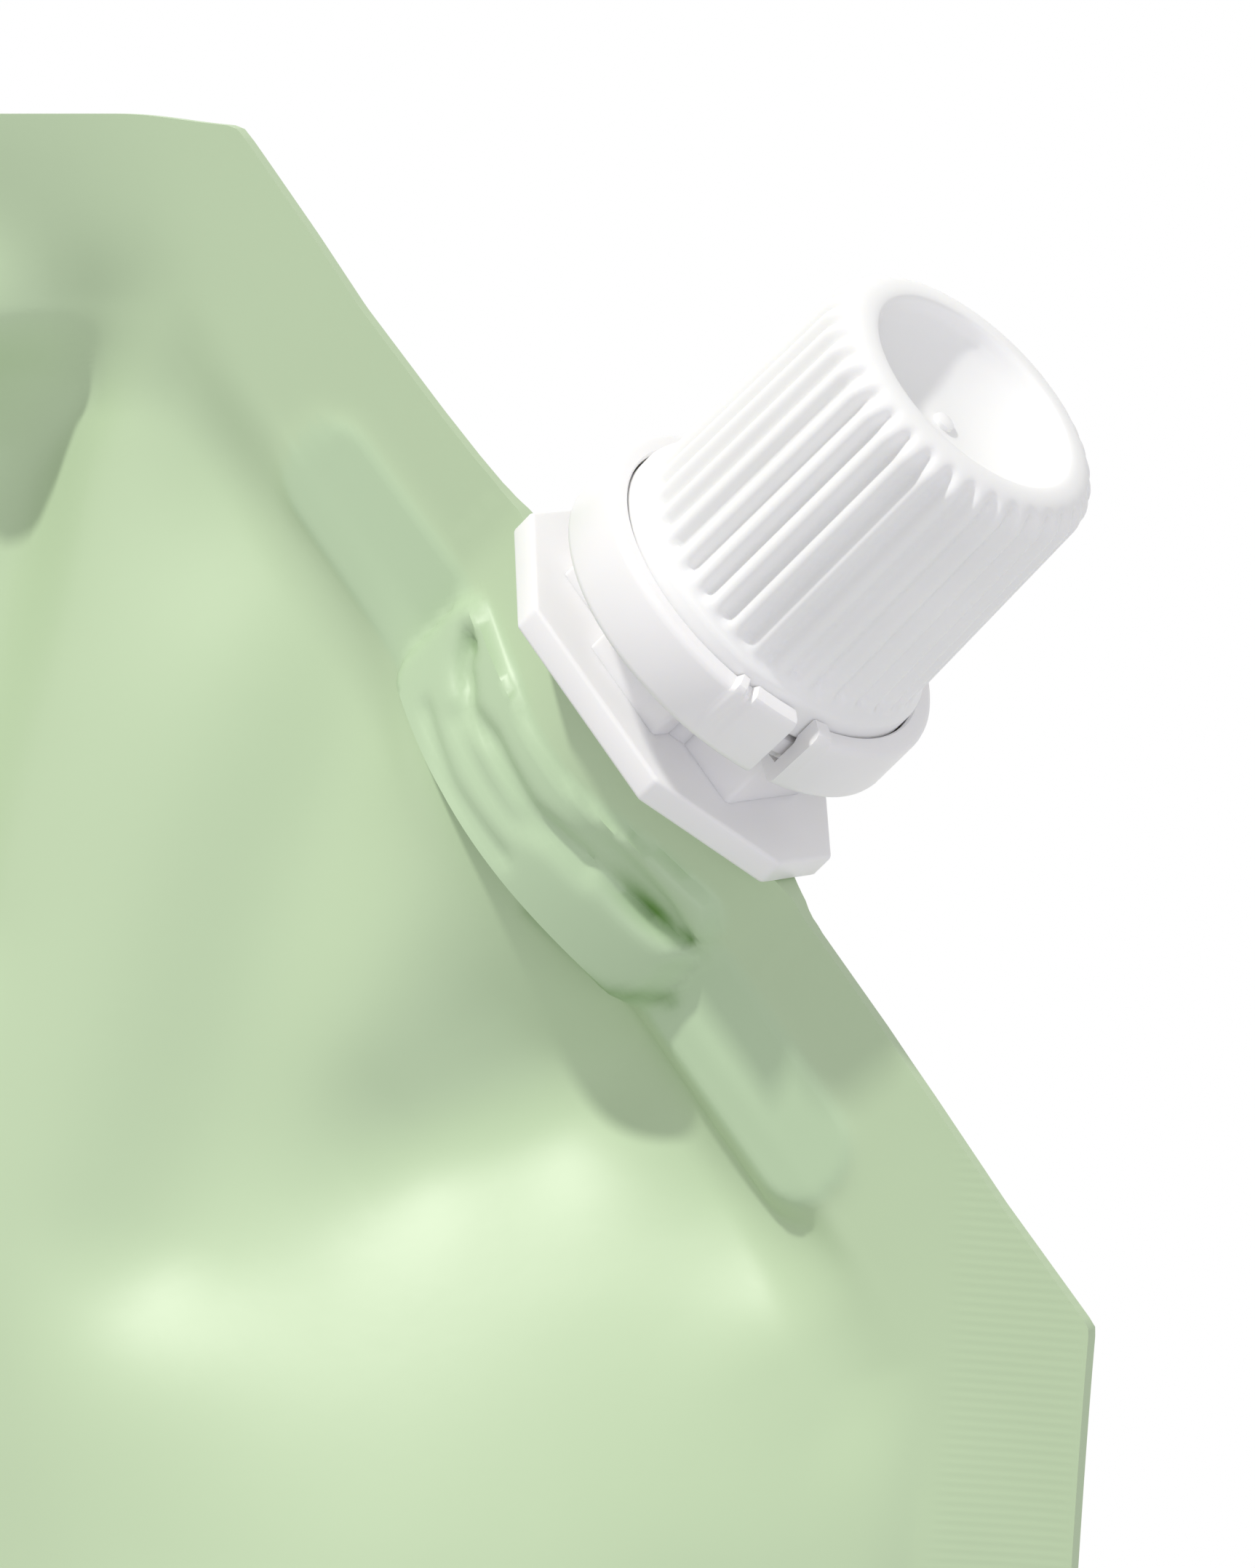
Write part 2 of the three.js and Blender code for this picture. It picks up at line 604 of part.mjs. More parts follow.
// Outer form of the cap: round foot, drafted ribs with round crests, shoulder up to the flat rim.
function capBlank() {
  const foot = COLLAR_BOTTOM + COLLAR_THICKNESS + CLEARANCE;
  const top = foot + CAP_HEIGHT;
  const footRadius = BAND_RADIUS - BAND_WALL - 0.4;
  const slope = Math.tan(CAP_DRAFT * DEG);
  const rimRadius = DISH_RADIUS + 0.6;
  const wallRadius = (height) => CAP_RADIUS - slope * (height - RIB_START);
  const levels = [
    [foot, footRadius, 0],
    [foot + CAP_FOOT_HEIGHT - 0.5, footRadius, 0],
    [foot + CAP_FOOT_HEIGHT, footRadius - 0.3, 0],
    [RIB_START, wallRadius(RIB_START) + 0.1, 0.25],
    [RIB_START + 0.7, wallRadius(RIB_START + 0.7), 1],
    [top - CAP_SHOULDER, wallRadius(top - CAP_SHOULDER), 1],
  ];
  const shoulderSteps = 4;
  const shoulderRadius = wallRadius(top - CAP_SHOULDER);
  for (let k = 1; k <= shoulderSteps; k += 1) {
    const angle = Math.PI / 2 * k / shoulderSteps;
    levels.push([
      top - CAP_SHOULDER * (1 - Math.sin(angle)),
      rimRadius + (shoulderRadius - rimRadius) * Math.cos(angle),
      k < shoulderSteps ? 1 - 0.12 * k : 0,
    ]);
  }
  const columnsPerRib = 4;
  const grooveShare = [1, 0.2, 0, 0.2];
  const columns = CAP_RIBS * columnsPerRib;
  const rings = levels.map(([height, radius, ribbing]) => {
    const ring = [];
    for (let column = 0; column < columns; column += 1) {
      const angle = 2 * Math.PI * column / columns;
      const r = radius - RIB_DEPTH * ribbing * grooveShare[column % columnsPerRib];
      ring.push([r * Math.cos(angle), r * Math.sin(angle), height]);
    }
    return ring;
  });
  return toSolid(ringStack(rings, [0, 0, foot], [0, 0, top]));
}

function screwCap() {
  const foot = COLLAR_BOTTOM + COLLAR_THICKNESS + CLEARANCE;
  const top = foot + CAP_HEIGHT;
  const hollowRadius = Math.min(CAP_RADIUS - CAP_WALL, BORE_RADIUS + MOUTH_WALL + THREAD_ROOM);
  const sealPlane = MOUTH_HEIGHT + CLEARANCE;
  const hollow = revolve([
    [0, foot - 1],
    [hollowRadius + 0.6, foot - 1],
    [hollowRadius + 0.6, foot],
    [hollowRadius, foot + 0.6],
    [hollowRadius, sealPlane + 0.1],
    [hollowRadius - 0.5, sealPlane + 0.6],
    [BORE_RADIUS + MOUTH_WALL + 0.2, sealPlane + 0.6],
    [BORE_RADIUS + MOUTH_WALL, sealPlane],
    [BORE_RADIUS + 0.2, sealPlane],
    [BORE_RADIUS, sealPlane + 0.4],
    [0, sealPlane + 0.4],
  ], 40);
  const bowl = [];
  const bowlSteps = 6;
  const bowlRadius = DISH_RADIUS - 0.5;
  for (let k = 0; k <= bowlSteps; k += 1) {
    const share = k / bowlSteps;
    bowl.push([
      GATE_RADIUS * 1.8 + (bowlRadius - GATE_RADIUS * 1.8) * share,
      top - DISH_DEPTH + (DISH_DEPTH - DISH_WALL) * share ** 2.2,
    ]);
  }
  const dish = revolve([
    [0, top - DISH_DEPTH + 0.15],
    [GATE_RADIUS * 0.5, top - DISH_DEPTH + 0.4],
    [GATE_RADIUS, top - DISH_DEPTH + 0.4],
    ...bowl,
    [DISH_RADIUS - 0.2, top - 0.3],
    [DISH_RADIUS, top],
    [DISH_RADIUS, top + 1],
    [0, top + 1],
  ], 40);
  return toGeometry(capBlank().subtract(toSolid(hollow)).subtract(toSolid(dish)));
}

function piece(name, geometry, material) {
  const mesh = new THREE.Mesh(geometry, material);
  mesh.name = name;
  return mesh;
}

const group = new THREE.Group();
group.add(piece('pouch_body', pouchBody(), filmMaterial));

const spoutGroup = new THREE.Group();
spoutGroup.position.copy(spoutSeat);
spoutGroup.rotation.y = CUT_ANGLE * DEG;
spoutGroup.add(piece('spout', spoutBody(), spoutMaterial));
spoutGroup.add(piece('tamper_band', tamperBand(), bandMaterial));
spoutGroup.add(piece('screw_cap', screwCap(), capMaterial));
group.add(spoutGroup);

export default group;
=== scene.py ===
import math

import bmesh
import bpy
import numpy as np
from mathutils import Matrix, Vector


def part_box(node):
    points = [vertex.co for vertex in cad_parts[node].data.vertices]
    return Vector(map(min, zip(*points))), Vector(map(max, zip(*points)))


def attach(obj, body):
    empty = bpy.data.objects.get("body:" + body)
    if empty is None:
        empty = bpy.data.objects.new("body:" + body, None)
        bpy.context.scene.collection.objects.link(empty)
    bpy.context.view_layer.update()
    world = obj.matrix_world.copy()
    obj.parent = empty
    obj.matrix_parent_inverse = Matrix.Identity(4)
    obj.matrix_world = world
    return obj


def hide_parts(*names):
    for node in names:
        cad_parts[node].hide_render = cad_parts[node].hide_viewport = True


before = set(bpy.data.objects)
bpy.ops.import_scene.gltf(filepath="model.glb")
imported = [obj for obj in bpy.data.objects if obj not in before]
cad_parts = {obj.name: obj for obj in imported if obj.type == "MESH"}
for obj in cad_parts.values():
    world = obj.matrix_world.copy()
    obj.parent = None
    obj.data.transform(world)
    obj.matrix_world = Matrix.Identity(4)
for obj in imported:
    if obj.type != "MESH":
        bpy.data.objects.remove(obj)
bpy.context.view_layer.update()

bl_info = {
    "name": "Shower gel refill pouch",
    "version": (1, 0, 0),
    "blender": (4, 5, 0),
    "location": "3D View > Sidebar > Refill Pouch",
    "description": "Filled film bag, welded spout, tamper band and ribbed screw cap of a refill pouch",
    "category": "Add Mesh",
}

BAG_LOW, BAG_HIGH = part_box("pouch_body")

# Lengths in the shape functions are millimetres, as on a drawing. Meshes are metres.
MM = 0.001

# The cut corner: x and z of its upper end, the direction down the cut and the spout's axis.
CUT_TOP = (20.181, 250.0)
CUT_ANGLE = math.radians(49.0)
ALONG = (math.cos(CUT_ANGLE), -math.sin(CUT_ANGLE))
AWAY = (math.sin(CUT_ANGLE), math.cos(CUT_ANGLE))
SPOUT_SEAT = (53.1666, 213.3505)
CUT_EDGE = -0.85
FOOT_CORNER = (85.0, 175.436)

TOP_SEAL = 11.5
SIDE_SEAL = 10.5
CUT_SEAL = 9.5
HALF_FILM = 0.35
# Spacing of the crimp lines in the side seals, in metres.
CRIMP_PITCH = 0.0006

# How far from each seal the bag takes to swell, and how full its head is.
SIDE_SWELL = 22.0
TOP_SWELL = 14.0
CUT_SWELL = 20.0
HEAD_FULLNESS = 0.16
FOLD_START = 8.0

# The bag's flat pattern: zones across and below its top edge, and the steps in each zone.
COLUMN_ZONES = (-70, 8, 28, 79)
COLUMN_STEPS = (14, 44, 26, 128, 12)
ROW_ZONES = (0, 14, 34, 60)
ROW_STEPS = (36, 50, 30)
LOW_ROWS = 70
GUSSET_STEPS = 24
# Radii of the pattern's corners: both feet, the cut's lower end, and the far top corner.
CORNER_RADII = ((0, 5.0), (1, 5.0), (2, 1.0), (4, 1.2))

# Height of the weld base and of its wings under the film, in the spout's frame.
BOAT_HALF_LENGTH = 14.3
BOAT_FOOT = -14.7
FLANGE_HEIGHT = 2.05
COLLAR_BOTTOM = 7.9
COLLAR_TOP = 9.3
CAP_FOOT = 9.6

# Folds of the front film: from x, z and to x, z as offsets from the cut's upper end, width, rise.
BELLY_FOLDS = (
    (-60.1, -21.6, -3.8, -5.1, 2.2, 0.77),
    (10.2, -11.4, 21.6, -35.6, 8.3, 5.49),
    (13.4, -27.3, 2.8, -71.1, 7.0, -2.94),
    (13.8, -70.0, 45.5, -64.0, 10.5, -3.42),
    (17.1, -64.8, 32.3, -55.9, 5.5, -2.25),
    (29.2, -53.9, 46.7, -70.4, 2.2, -0.90),
    (51.3, -79.0, 46.6, -70.3, 5.1, -1.70),
    (22.2, -57.2, 25.7, -62.7, 7.1, -2.40),
    (-18.7, -15.1, -20.1, -51.6, 6.8, -5.44),
    (-27.6, -60.6, -21.9, -89.9, 8.2, 0.76),
    (-9.5, -81.7, -14.0, -96.0, 7.1, -0.95),
    (1.3, -78.8, 28.0, -100.9, 15.3, 2.10),
    (47.8, -74.6, 57.4, -86.6, 7.2, 2.60),
    (-39.1, -59.7, -19.0, -109.6, 12.1, -2.16),
    (40.3, -68.3, 50.2, -88.7, 13.1, -2.02),
    (10.6, -103.2, 35.3, -94.5, 12.5, 2.70),
    (2.9, -21.4, 27.5, -26.3, 11.6, -3.37),
    (-78.0, -70.0, -62.0, -130.0, 10.0, -2.5),
    (-10.0, -125.0, 10.0, -170.0, 14.0, -1.8),
)
# Bends that the seals and both films make together.
SEAM_BENDS = (
    (-99.7, -3.2, -17.9, 4.2, 15.9, 6.40),
    (-77.9, -33.8, -6.1, -12.7, 4.8, -3.69),
    (0.0, 0.2, 28.8, -16.2, 3.9, 0.67),
    (-38.5, -26.3, -19.8, -15.2, 5.2, 8.75),
    (58.6, -56.8, 60.3, -72.2, 9.5, 0.74),
    (53.8, -93.8, 57.5, -99.4, 12.4, 2.40),
    (-90.0, -14.0, -39.9, -14.0, 8.1, 0.33),
)
BACK_FOLDS = (
    (-60.0, -24.0, -4.0, -16.0, 5.0, 2.0),
    (0.0, -40.0, 14.0, -70.0, 8.0, -2.4),
    (-70.0, -60.0, -48.0, -110.0, 11.0, -3.0),
    (40.0, -92.0, 28.0, -134.0, 10.0, -2.4),
    (-30.0, -110.0, -8.0, -160.0, 14.0, -2.0),
)
# The weld base under the film, by place along the cut and height away from it: its upper rib's line,
# the grooves between its ribs with depth and width, its pits with sizes and depth, the spots of painted
# shade in its hollows with sizes and strength, and the path of painted shade along the crease below its
# lower end.
RIDGE_PLACES = (-14, -11.3, -6.3, -3.8, 0.9, 5, 8.3, 14.2)
RIDGE_HEIGHTS = (-6.3, -6.1, -5.8, -6.2, -6.3, -5.6, -5.0, -4.9)
GROOVES = (
    (((-10.6, -8.0), (-7.1, -9.3), (-4.1, -8.6), (1.1, -9.1), (3.2, -8.6), (5.6, -8.2)), 0.75, 0.75),
    (((-7.5, -10.4), (-2.7, -10.6), (0.6, -10.5), (3.4, -9.3), (6.4, -9.1)), 0.35, 0.7),
    (((-9.5, -12.2), (-4.0, -12.9), (2.0, -12.6)), 0.4, 0.6),
)
PITS = (
    (10.2, -7.45, 2.3, 1.0, 2.9),
    (7.4, -7.2, 2.4, 1.2, 1.3),
    (13.2, -7.5, 0.7, 0.55, 1.5),
    (-10.9, -7.3, 1.0, 0.6, 1.3),
    (-9.2, -8.6, 1.6, 0.9, 0.5),
)
PAINTED_HOLLOW_SHADE = (
    (10.9, -7.75, 1.7, 0.62, 0.95),
    (9.0, -7.5, 1.7, 0.8, 0.35),
    (13.2, -7.5, 0.55, 0.45, 0.8),
    (-10.9, -7.35, 0.8, 0.4, 0.45),
)
PAINTED_CREASE_SHADE = ((4.5, -15.3), (9.0, -15.0), (12.5, -13.9), (15.0, -11.5))
# Half length, bottom, top and corner radius of the wings' outline.
WING_OUTLINE = (31.2, -14.0, -6.2, 3.6)

# How far the cut edge strays from its line, by place along the cut.
EDGE_PLACES = (-49.3, -40, -34, -25, -21, -17.5, -16, 16, 17, 26, 28.7, 31.5, 34, 37, 39.6, 49.5)
EDGE_STRAYS = (0, -0.1, -0.3, 0, 0.23, 0.55, 0.8, 0.8, 0.57, 0.57, 0.5, 0.46, 0.39, 0.31, 0.23, 0.35)


def linear(hex_colour):
    """Linear RGBA of an sRGB hex colour."""
    values = [int(hex_colour[k:k + 2], 16) / 255 for k in (1, 3, 5)]
    return (*[v / 12.92 if v <= 0.04045 else ((v + 0.055) / 1.055) ** 2.4 for v in values], 1.0)


class FilmSettings(bpy.types.PropertyGroup):
    """Sizes and colours of the film bag"""

    width: bpy.props.FloatProperty(
        name="Bag width", description="Width across the side seals",
        default=0.170, min=0.1, max=0.3, unit='LENGTH')
    height: bpy.props.FloatProperty(
        name="Bag height", description="Height of the standing bag up to its top seal",
        default=BAG_HIGH.z, min=0.15, max=0.4, unit='LENGTH')
    depth: bpy.props.FloatProperty(
        name="Base depth", description="Depth of the open base between front and back",
        default=BAG_HIGH.y - BAG_LOW.y, min=0.03, max=0.12, unit='LENGTH')
    waist: bpy.props.FloatProperty(
        name="Side pull", description="How far each side seal pulls in between the base and the cut",
        default=0.004, min=0.0, max=0.02, unit='LENGTH')
    gusset: bpy.props.FloatProperty(
        name="Gusset fold", description="Length of the base film from the rim to its ridge",
        default=0.042, min=0.02, max=0.08, unit='LENGTH')
    rim: bpy.props.FloatProperty(
        name="Base rim", description="Thickness of the sealed rim that the bag stands on",
        default=0.0012, min=0.0004, max=0.004, unit='LENGTH')
    colour: bpy.props.FloatVectorProperty(
        name="Film colour", description="Pale green print of the film", subtype='COLOR', size=3,
        default=linear("#BCD0AC")[:3], min=0.0, max=1.0)
    backed: bpy.props.FloatVectorProperty(
        name="Backed colour", description="The film where the white weld base lies behind it",
        subtype='COLOR', size=3, default=linear("#BAD0AD")[:3], min=0.0, max=1.0)
    # The hollow colour is painted shade: a deeper green where shade falls in the hollows and the crease
    # beside the weld ribs.
    hollow: bpy.props.FloatVectorProperty(
        name="Hollow colour", description="The film deep in the hollows beside the weld ribs",
        subtype='COLOR', size=3, default=linear("#598635")[:3], min=0.0, max=1.0)


class SpoutSettings(bpy.types.PropertyGroup):
    """Sizes and colour of the spout and the tamper band"""

    neck: bpy.props.FloatProperty(
        name="Neck radius", description="Radius of the neck between flange and collar",
        default=0.0063, min=0.004, max=0.01, unit='LENGTH')
    mouth: bpy.props.FloatProperty(
        name="Mouth radius", description="Outer radius of the threaded mouth",
        default=0.0074, min=0.005, max=0.0085, unit='LENGTH')
    mouth_height: bpy.props.FloatProperty(
        name="Mouth height", description="Height of the mouth over the underside of the flange",
        default=0.0256, min=0.015, max=0.03, unit='LENGTH')
    pitch: bpy.props.FloatProperty(
        name="Thread pitch", description="Rise of the screw thread in one turn",
        default=0.003, min=0.002, max=0.005, unit='LENGTH')
    band_radius: bpy.props.FloatProperty(
        name="Band radius", description="Outer radius of the tamper band",
        default=0.01315, min=0.012, max=0.016, unit='LENGTH')
    band_gap: bpy.props.FloatProperty(
        name="Band gap", description="Opening between the two ends of the tamper band",
        default=0.0018, min=0.0005, max=0.006, unit='LENGTH')
    colour: bpy.props.FloatVectorProperty(
        name="Spout colour", description="White of the moulded spout", subtype='COLOR', size=3,
        default=linear("#F5F4F5")[:3], min=0.0, max=1.0)


class CapSettings(bpy.types.PropertyGroup):
    """Sizes and colour of the screw cap"""

    radius: bpy.props.FloatProperty(
        name="Cap radius", description="Radius of the cap over its ribs at their lower end",
        default=0.011, min=0.009, max=0.014, unit='LENGTH')
    height: bpy.props.FloatProperty(
        name="Cap height", description="Height of the cap from its foot to its rim",
        default=0.0216, min=0.012, max=0.03, unit='LENGTH')
    ribs: bpy.props.IntProperty(
        name="Ribs", description="Number of grip ribs round the cap", default=36, min=12, max=72)
    rib_depth: bpy.props.FloatProperty(
        name="Rib depth", description="Depth of the grooves between the grip ribs",
        default=0.0006, min=0.0, max=0.001, unit='LENGTH')
    dish_radius: bpy.props.FloatProperty(
        name="Dish radius", description="Radius of the hollow in the cap's top",
        default=0.0077, min=0.003, max=0.009, unit='LENGTH')
    dish_depth: bpy.props.FloatProperty(
        name="Dish depth", description="Depth of the hollow in the cap's top",
        default=0.0032, min=0.001, max=0.005, unit='LENGTH')
    colour: bpy.props.FloatVectorProperty(
        name="Cap colour", description="White of the moulded cap", subtype='COLOR', size=3,
        default=linear("#F6F6F6")[:3], min=0.0, max=1.0)


class StageSettings(bpy.types.PropertyGroup):
    """Floor and light"""

    floor_radius: bpy.props.FloatProperty(
        name="Floor radius", description="Radius of the pale floor",
        default=0.6, min=0.2, max=3.0, unit='LENGTH')
    sun: bpy.props.FloatProperty(
        name="Key light", description="Strength of the key light", default=2.05, min=0.0, max=10.0)
    ambient: bpy.props.FloatProperty(
        name="Soft light", description="Strength of the light from all around",
        default=0.56, min=0.0, max=2.0)
    fill: bpy.props.FloatProperty(
        name="Fill light", description="Strength of the wide light from the lower right",
        default=1.05, min=0.0, max=5.0)


def add_node(tree, kind, inputs=None, **settings):
    """A new node with its settings; an input is a value or the socket that feeds it."""
    node = tree.nodes.new(kind)
    for key, value in settings.items():
        setattr(node, key, value)
    for key, value in (inputs or {}).items():
        if isinstance(value, bpy.types.NodeSocket):
            tree.links.new(value, node.inputs[key])
        else:
            node.inputs[key].default_value = value
    return node


def new_material(name, roughness, ior):
    material = bpy.data.materials.new(name)
    material.use_nodes = True
    shader = material.node_tree.nodes["Principled BSDF"]
    shader.inputs["Roughness"].default_value = roughness
    shader.inputs["IOR"].default_value = ior
    return material, material.node_tree, shader


def laminate_material(settings):
    """Printed PET and PE laminate film: satin, evenly coloured, with faint marks, seal crimps and painted
    shade in the hollows beside the weld ribs.
    """
    material, tree, shader = new_material("printed_laminate_film", roughness=0.42, ior=1.5)
    place = add_node(tree, "ShaderNodeTexCoord").outputs["Object"]
    backing = add_node(tree, "ShaderNodeAttribute", attribute_name="backing").outputs["Fac"]
    # The hollow attribute holds painted shade for the weld's hollows and lower crease.
    hollow = add_node(tree, "ShaderNodeAttribute", attribute_name="hollow").outputs["Fac"]
    crimp = add_node(tree, "ShaderNodeAttribute", attribute_name="crimp").outputs["Fac"]
    # Sockets 0, 6 and 7 of a mix node are its factor and its two colours, output 2 is the colour.
    backed = add_node(tree, "ShaderNodeMix", {
        0: backing, 6: (*settings.colour, 1.0), 7: (*settings.backed, 1.0)}, data_type='RGBA')
    # Ink density drifts a little over some 30 mm.
    drift = add_node(tree, "ShaderNodeTexNoise", {"Vector": place, "Scale": 33.0, "Detail": 3.0})
    tone = add_node(tree, "ShaderNodeMapRange", {
        "Value": drift.outputs["Fac"], "From Min": 0.3, "From Max": 0.7,
        "To Min": 0.985, "To Max": 1.015})
    toned = add_node(tree, "ShaderNodeVectorMath", {0: backed.outputs[2], 1: tone.outputs[0]},
                     operation='MULTIPLY')
    # Painted shade: the colour turns to the hollow colour where shade falls beside the weld ribs.
    deep = add_node(tree, "ShaderNodeMix", {
        0: hollow, 6: toned.outputs[0], 7: (*settings.hollow, 1.0)}, data_type='RGBA')
    tree.links.new(deep.outputs[2], shader.inputs["Base Color"])
    # Crimp lines of the side seal's tool, and stretch marks of some 2 mm.
    lines = add_node(tree, "ShaderNodeTexWave", {
        "Vector": place, "Scale": 2 * math.pi / 20 / CRIMP_PITCH, "Distortion": 0.0},
        wave_type='BANDS', bands_direction='Z', wave_profile='SIN')
    shown = add_node(tree, "ShaderNodeMath", {0: lines.outputs["Fac"], 1: crimp}, operation='MULTIPLY')
    grain = add_node(tree, "ShaderNodeTexNoise", {"Vector": place, "Scale": 480.0, "Detail": 3.0})
    fine = add_node(tree, "ShaderNodeBump", {"Height": grain.outputs["Fac"], "Strength": 0.25,
                                             "Distance": 0.00004})
    ribbed = add_node(tree, "ShaderNodeBump", {
        "Height": shown.outputs[0], "Strength": 0.28, "Distance": 0.00003, "Normal": fine.outputs[0]})
    tree.links.new(ribbed.outputs[0], shader.inputs["Normal"])
    return material


def moulded_material(name, colour, roughness, skin_scale):
    """Injection moulded polyolefin: soft white, slightly waxy, light enters its edges a little."""
    material, tree, shader = new_material(name, roughness, ior=1.5)
    place = add_node(tree, "ShaderNodeTexCoord").outputs["Object"]
    # Flow shade of some 6 mm, barely seen.
    flow = add_node(tree, "ShaderNodeTexNoise", {"Vector": place, "Scale": 160.0, "Detail": 2.0})
    tone = add_node(tree, "ShaderNodeMapRange", {
        "Value": flow.outputs["Fac"], "From Min": 0.3, "From Max": 0.7, "To Min": 0.985, "To Max": 1.01})
    shade = add_node(tree, "ShaderNodeVectorMath", {0: tuple(colour), 1: tone.outputs[0]},
                     operation='MULTIPLY')
    tree.links.new(shade.outputs[0], shader.inputs["Base Color"])
    shader.inputs["Subsurface Weight"].default_value = 0.25
    shader.inputs["Subsurface Radius"].default_value = (1.0, 0.9, 0.7)
    shader.inputs["Subsurface Scale"].default_value = 0.0008
    # Spark eroded mould skin of some 0.3 mm.
    skin = add_node(tree, "ShaderNodeTexNoise", {"Vector": place, "Scale": skin_scale, "Detail": 2.0})
    fine = add_node(tree, "ShaderNodeBump", {"Height": skin.outputs["Fac"], "Strength": 0.2,
                                             "Distance": 0.00003})
    tree.links.new(fine.outputs[0], shader.inputs["Normal"])
    return material


def swell(distance, length):
    """Rise from 0 at a seal towards 1, over about the given length."""
    return 1.0 - np.exp(-np.maximum(distance, 0.0) / length)


def smooth(value):
    t = np.clip(value, 0.0, 1.0)
    return t * t * (3.0 - 2.0 * t)


def softest(a, b, blend):
    """The higher of two heights with a round transition."""
    return (a + b + np.sqrt((a - b) ** 2 + blend ** 2)) / 2


def stroke_rise(x, z, strokes):
    total = np.zeros_like(x)
    for x0, z0, x1, z1, width, rise in strokes:
        dx, dz = x1 - x0, z1 - z0
        px, pz = x - CUT_TOP[0] - x0, z - CUT_TOP[1] - z0
        share = np.clip((px * dx + pz * dz) / (dx * dx + dz * dz), 0.0, 1.0)
        total += rise * np.exp(-((px - share * dx) ** 2 + (pz - share * dz) ** 2) / width ** 2)
    return total


def spout_place(x, z):
    """Place along the cut and away from it, in the spout's frame."""
    dx, dz = x - SPOUT_SEAT[0], z - SPOUT_SEAT[1]
    return dx * ALONG[0] + dz * ALONG[1], dx * AWAY[0] + dz * AWAY[1]


def gauss(u, h, centre_u, centre_h, size_u, size_h):
    return np.exp(-((u - centre_u) / size_u) ** 2 - ((h - centre_h) / size_h) ** 2)


def line_gauss(u, h, points, width):
    """1 on a path through the points, falling off over the width."""
    best = np.full_like(u, 1e9)
    for (u0, h0), (u1, h1) in zip(points, points[1:]):
        du, dh = u1 - u0, h1 - h0
        share = np.clip(((u - u0) * du + (h - h0) * dh) / (du * du + dh * dh), 0.0, 1.0)
        best = np.minimum(best, (u - u0 - share * du) ** 2 + (h - h0 - share * dh) ** 2)
    return np.exp(-best / width ** 2)


def rounded_inside(u, h, half_length, bottom, top, radius):
    """Distance inside a rounded rectangle, negative outside."""
    qu = np.abs(u) - half_length + radius
    qh = np.abs(h - (bottom + top) / 2) - (top - bottom) / 2 + radius
    outside = np.hypot(np.maximum(qu, 0.0), np.maximum(qh, 0.0))
    return radius - outside - np.minimum(np.maximum(qu, qh), 0.0)


def weld_relief(u, h):
    """Depth of the film over neck, weld ribs and wings, how much of it is backed, and the painted shade
    in its hollows and along its lower crease.
    """
    share = np.clip(np.abs(u) / BOAT_HALF_LENGTH, 0.0, 1.0)
    eye = 2.1 + 4.3 * np.cos(share * math.pi / 2) ** 0.9
    neck_share = np.clip(np.abs(u) / 18.0, 0.0, 1.0)
    neck = 6.0 * np.cos(neck_share * math.pi / 2) ** 1.5 - 3.0 * smooth((-7.5 - h) / 2)
    neck = np.where(np.abs(u) < 18.0, neck, -2.0)
    top = np.interp(u, RIDGE_PLACES, RIDGE_HEIGHTS) + 1.0
    inside = rounded_inside(u, h, BOAT_HALF_LENGTH + 0.3, BOAT_FOOT, top, 2.6)
    plateau = eye * smooth((inside + 0.35) / 1.3) - 3.0 * smooth(-inside / 1.5)
    groove = sum(deep * line_gauss(u, h, line, width) for line, deep, width in GROOVES)
    pit = sum(deep * gauss(u, h, *place) for *place, deep in PITS)
    boat = plateau - groove - np.minimum(pit, 3.4)
    wing_inside = rounded_inside(u - 0.5, h, *WING_OUTLINE)
    wing = 0.72 * smooth((wing_inside + 0.6) / 1.2) - 2.0 * smooth((-wing_inside - 0.4) / 1.5)
    depth = np.maximum(softest(neck, boat, 0.5), wing)
    backed = np.maximum(smooth((wing_inside + 0.2) / 0.5), smooth((inside + 0.2) / 0.6))
    # Painted shade, strongest in the hollows by the pits and along the crease under the weld base.
    painted_shade = sum(strength * gauss(u, h, *place) for *place, strength in PAINTED_HOLLOW_SHADE)
    painted_shade = painted_shade + 0.5 * line_gauss(u, h, PAINTED_CREASE_SHADE, 0.6)
    return depth, backed, np.clip(painted_shade, 0.0, 1.0)


def belly_depth(x, z, settings, folds):
    """Half depth of the filled bag, measured from the seal plane."""
    half = settings.width / MM / 2
    height = settings.height / MM
    room_x = half - SIDE_SEAL
    full_x = 1.0 - math.exp(-room_x / SIDE_SWELL)
    across = swell(x + room_x, SIDE_SWELL) * swell(room_x - x, SIDE_SWELL) / full_x ** 2
    top = swell(height - TOP_SEAL - z, TOP_SWELL)
    from_cut = -((x - CUT_TOP[0]) * AWAY[0] + (z - CUT_TOP[1]) * AWAY[1]) - CUT_SEAL
    share = np.clip(z / height, 0.0, 1.0)
    fullness = HEAD_FULLNESS + (1.0 - HEAD_FULLNESS) * (1.0 - share ** 2) ** 1.1
    belly = settings.depth / MM / 2 - HALF_FILM
    belly = belly * across * top * swell(from_cut, CUT_SWELL) * fullness
    inset = np.minimum.reduce([x + room_x, room_x - x, height - TOP_SEAL - z, from_cut, z])
    return HALF_FILM + belly + smooth(inset / FOLD_START) * stroke_rise(x, z, folds)


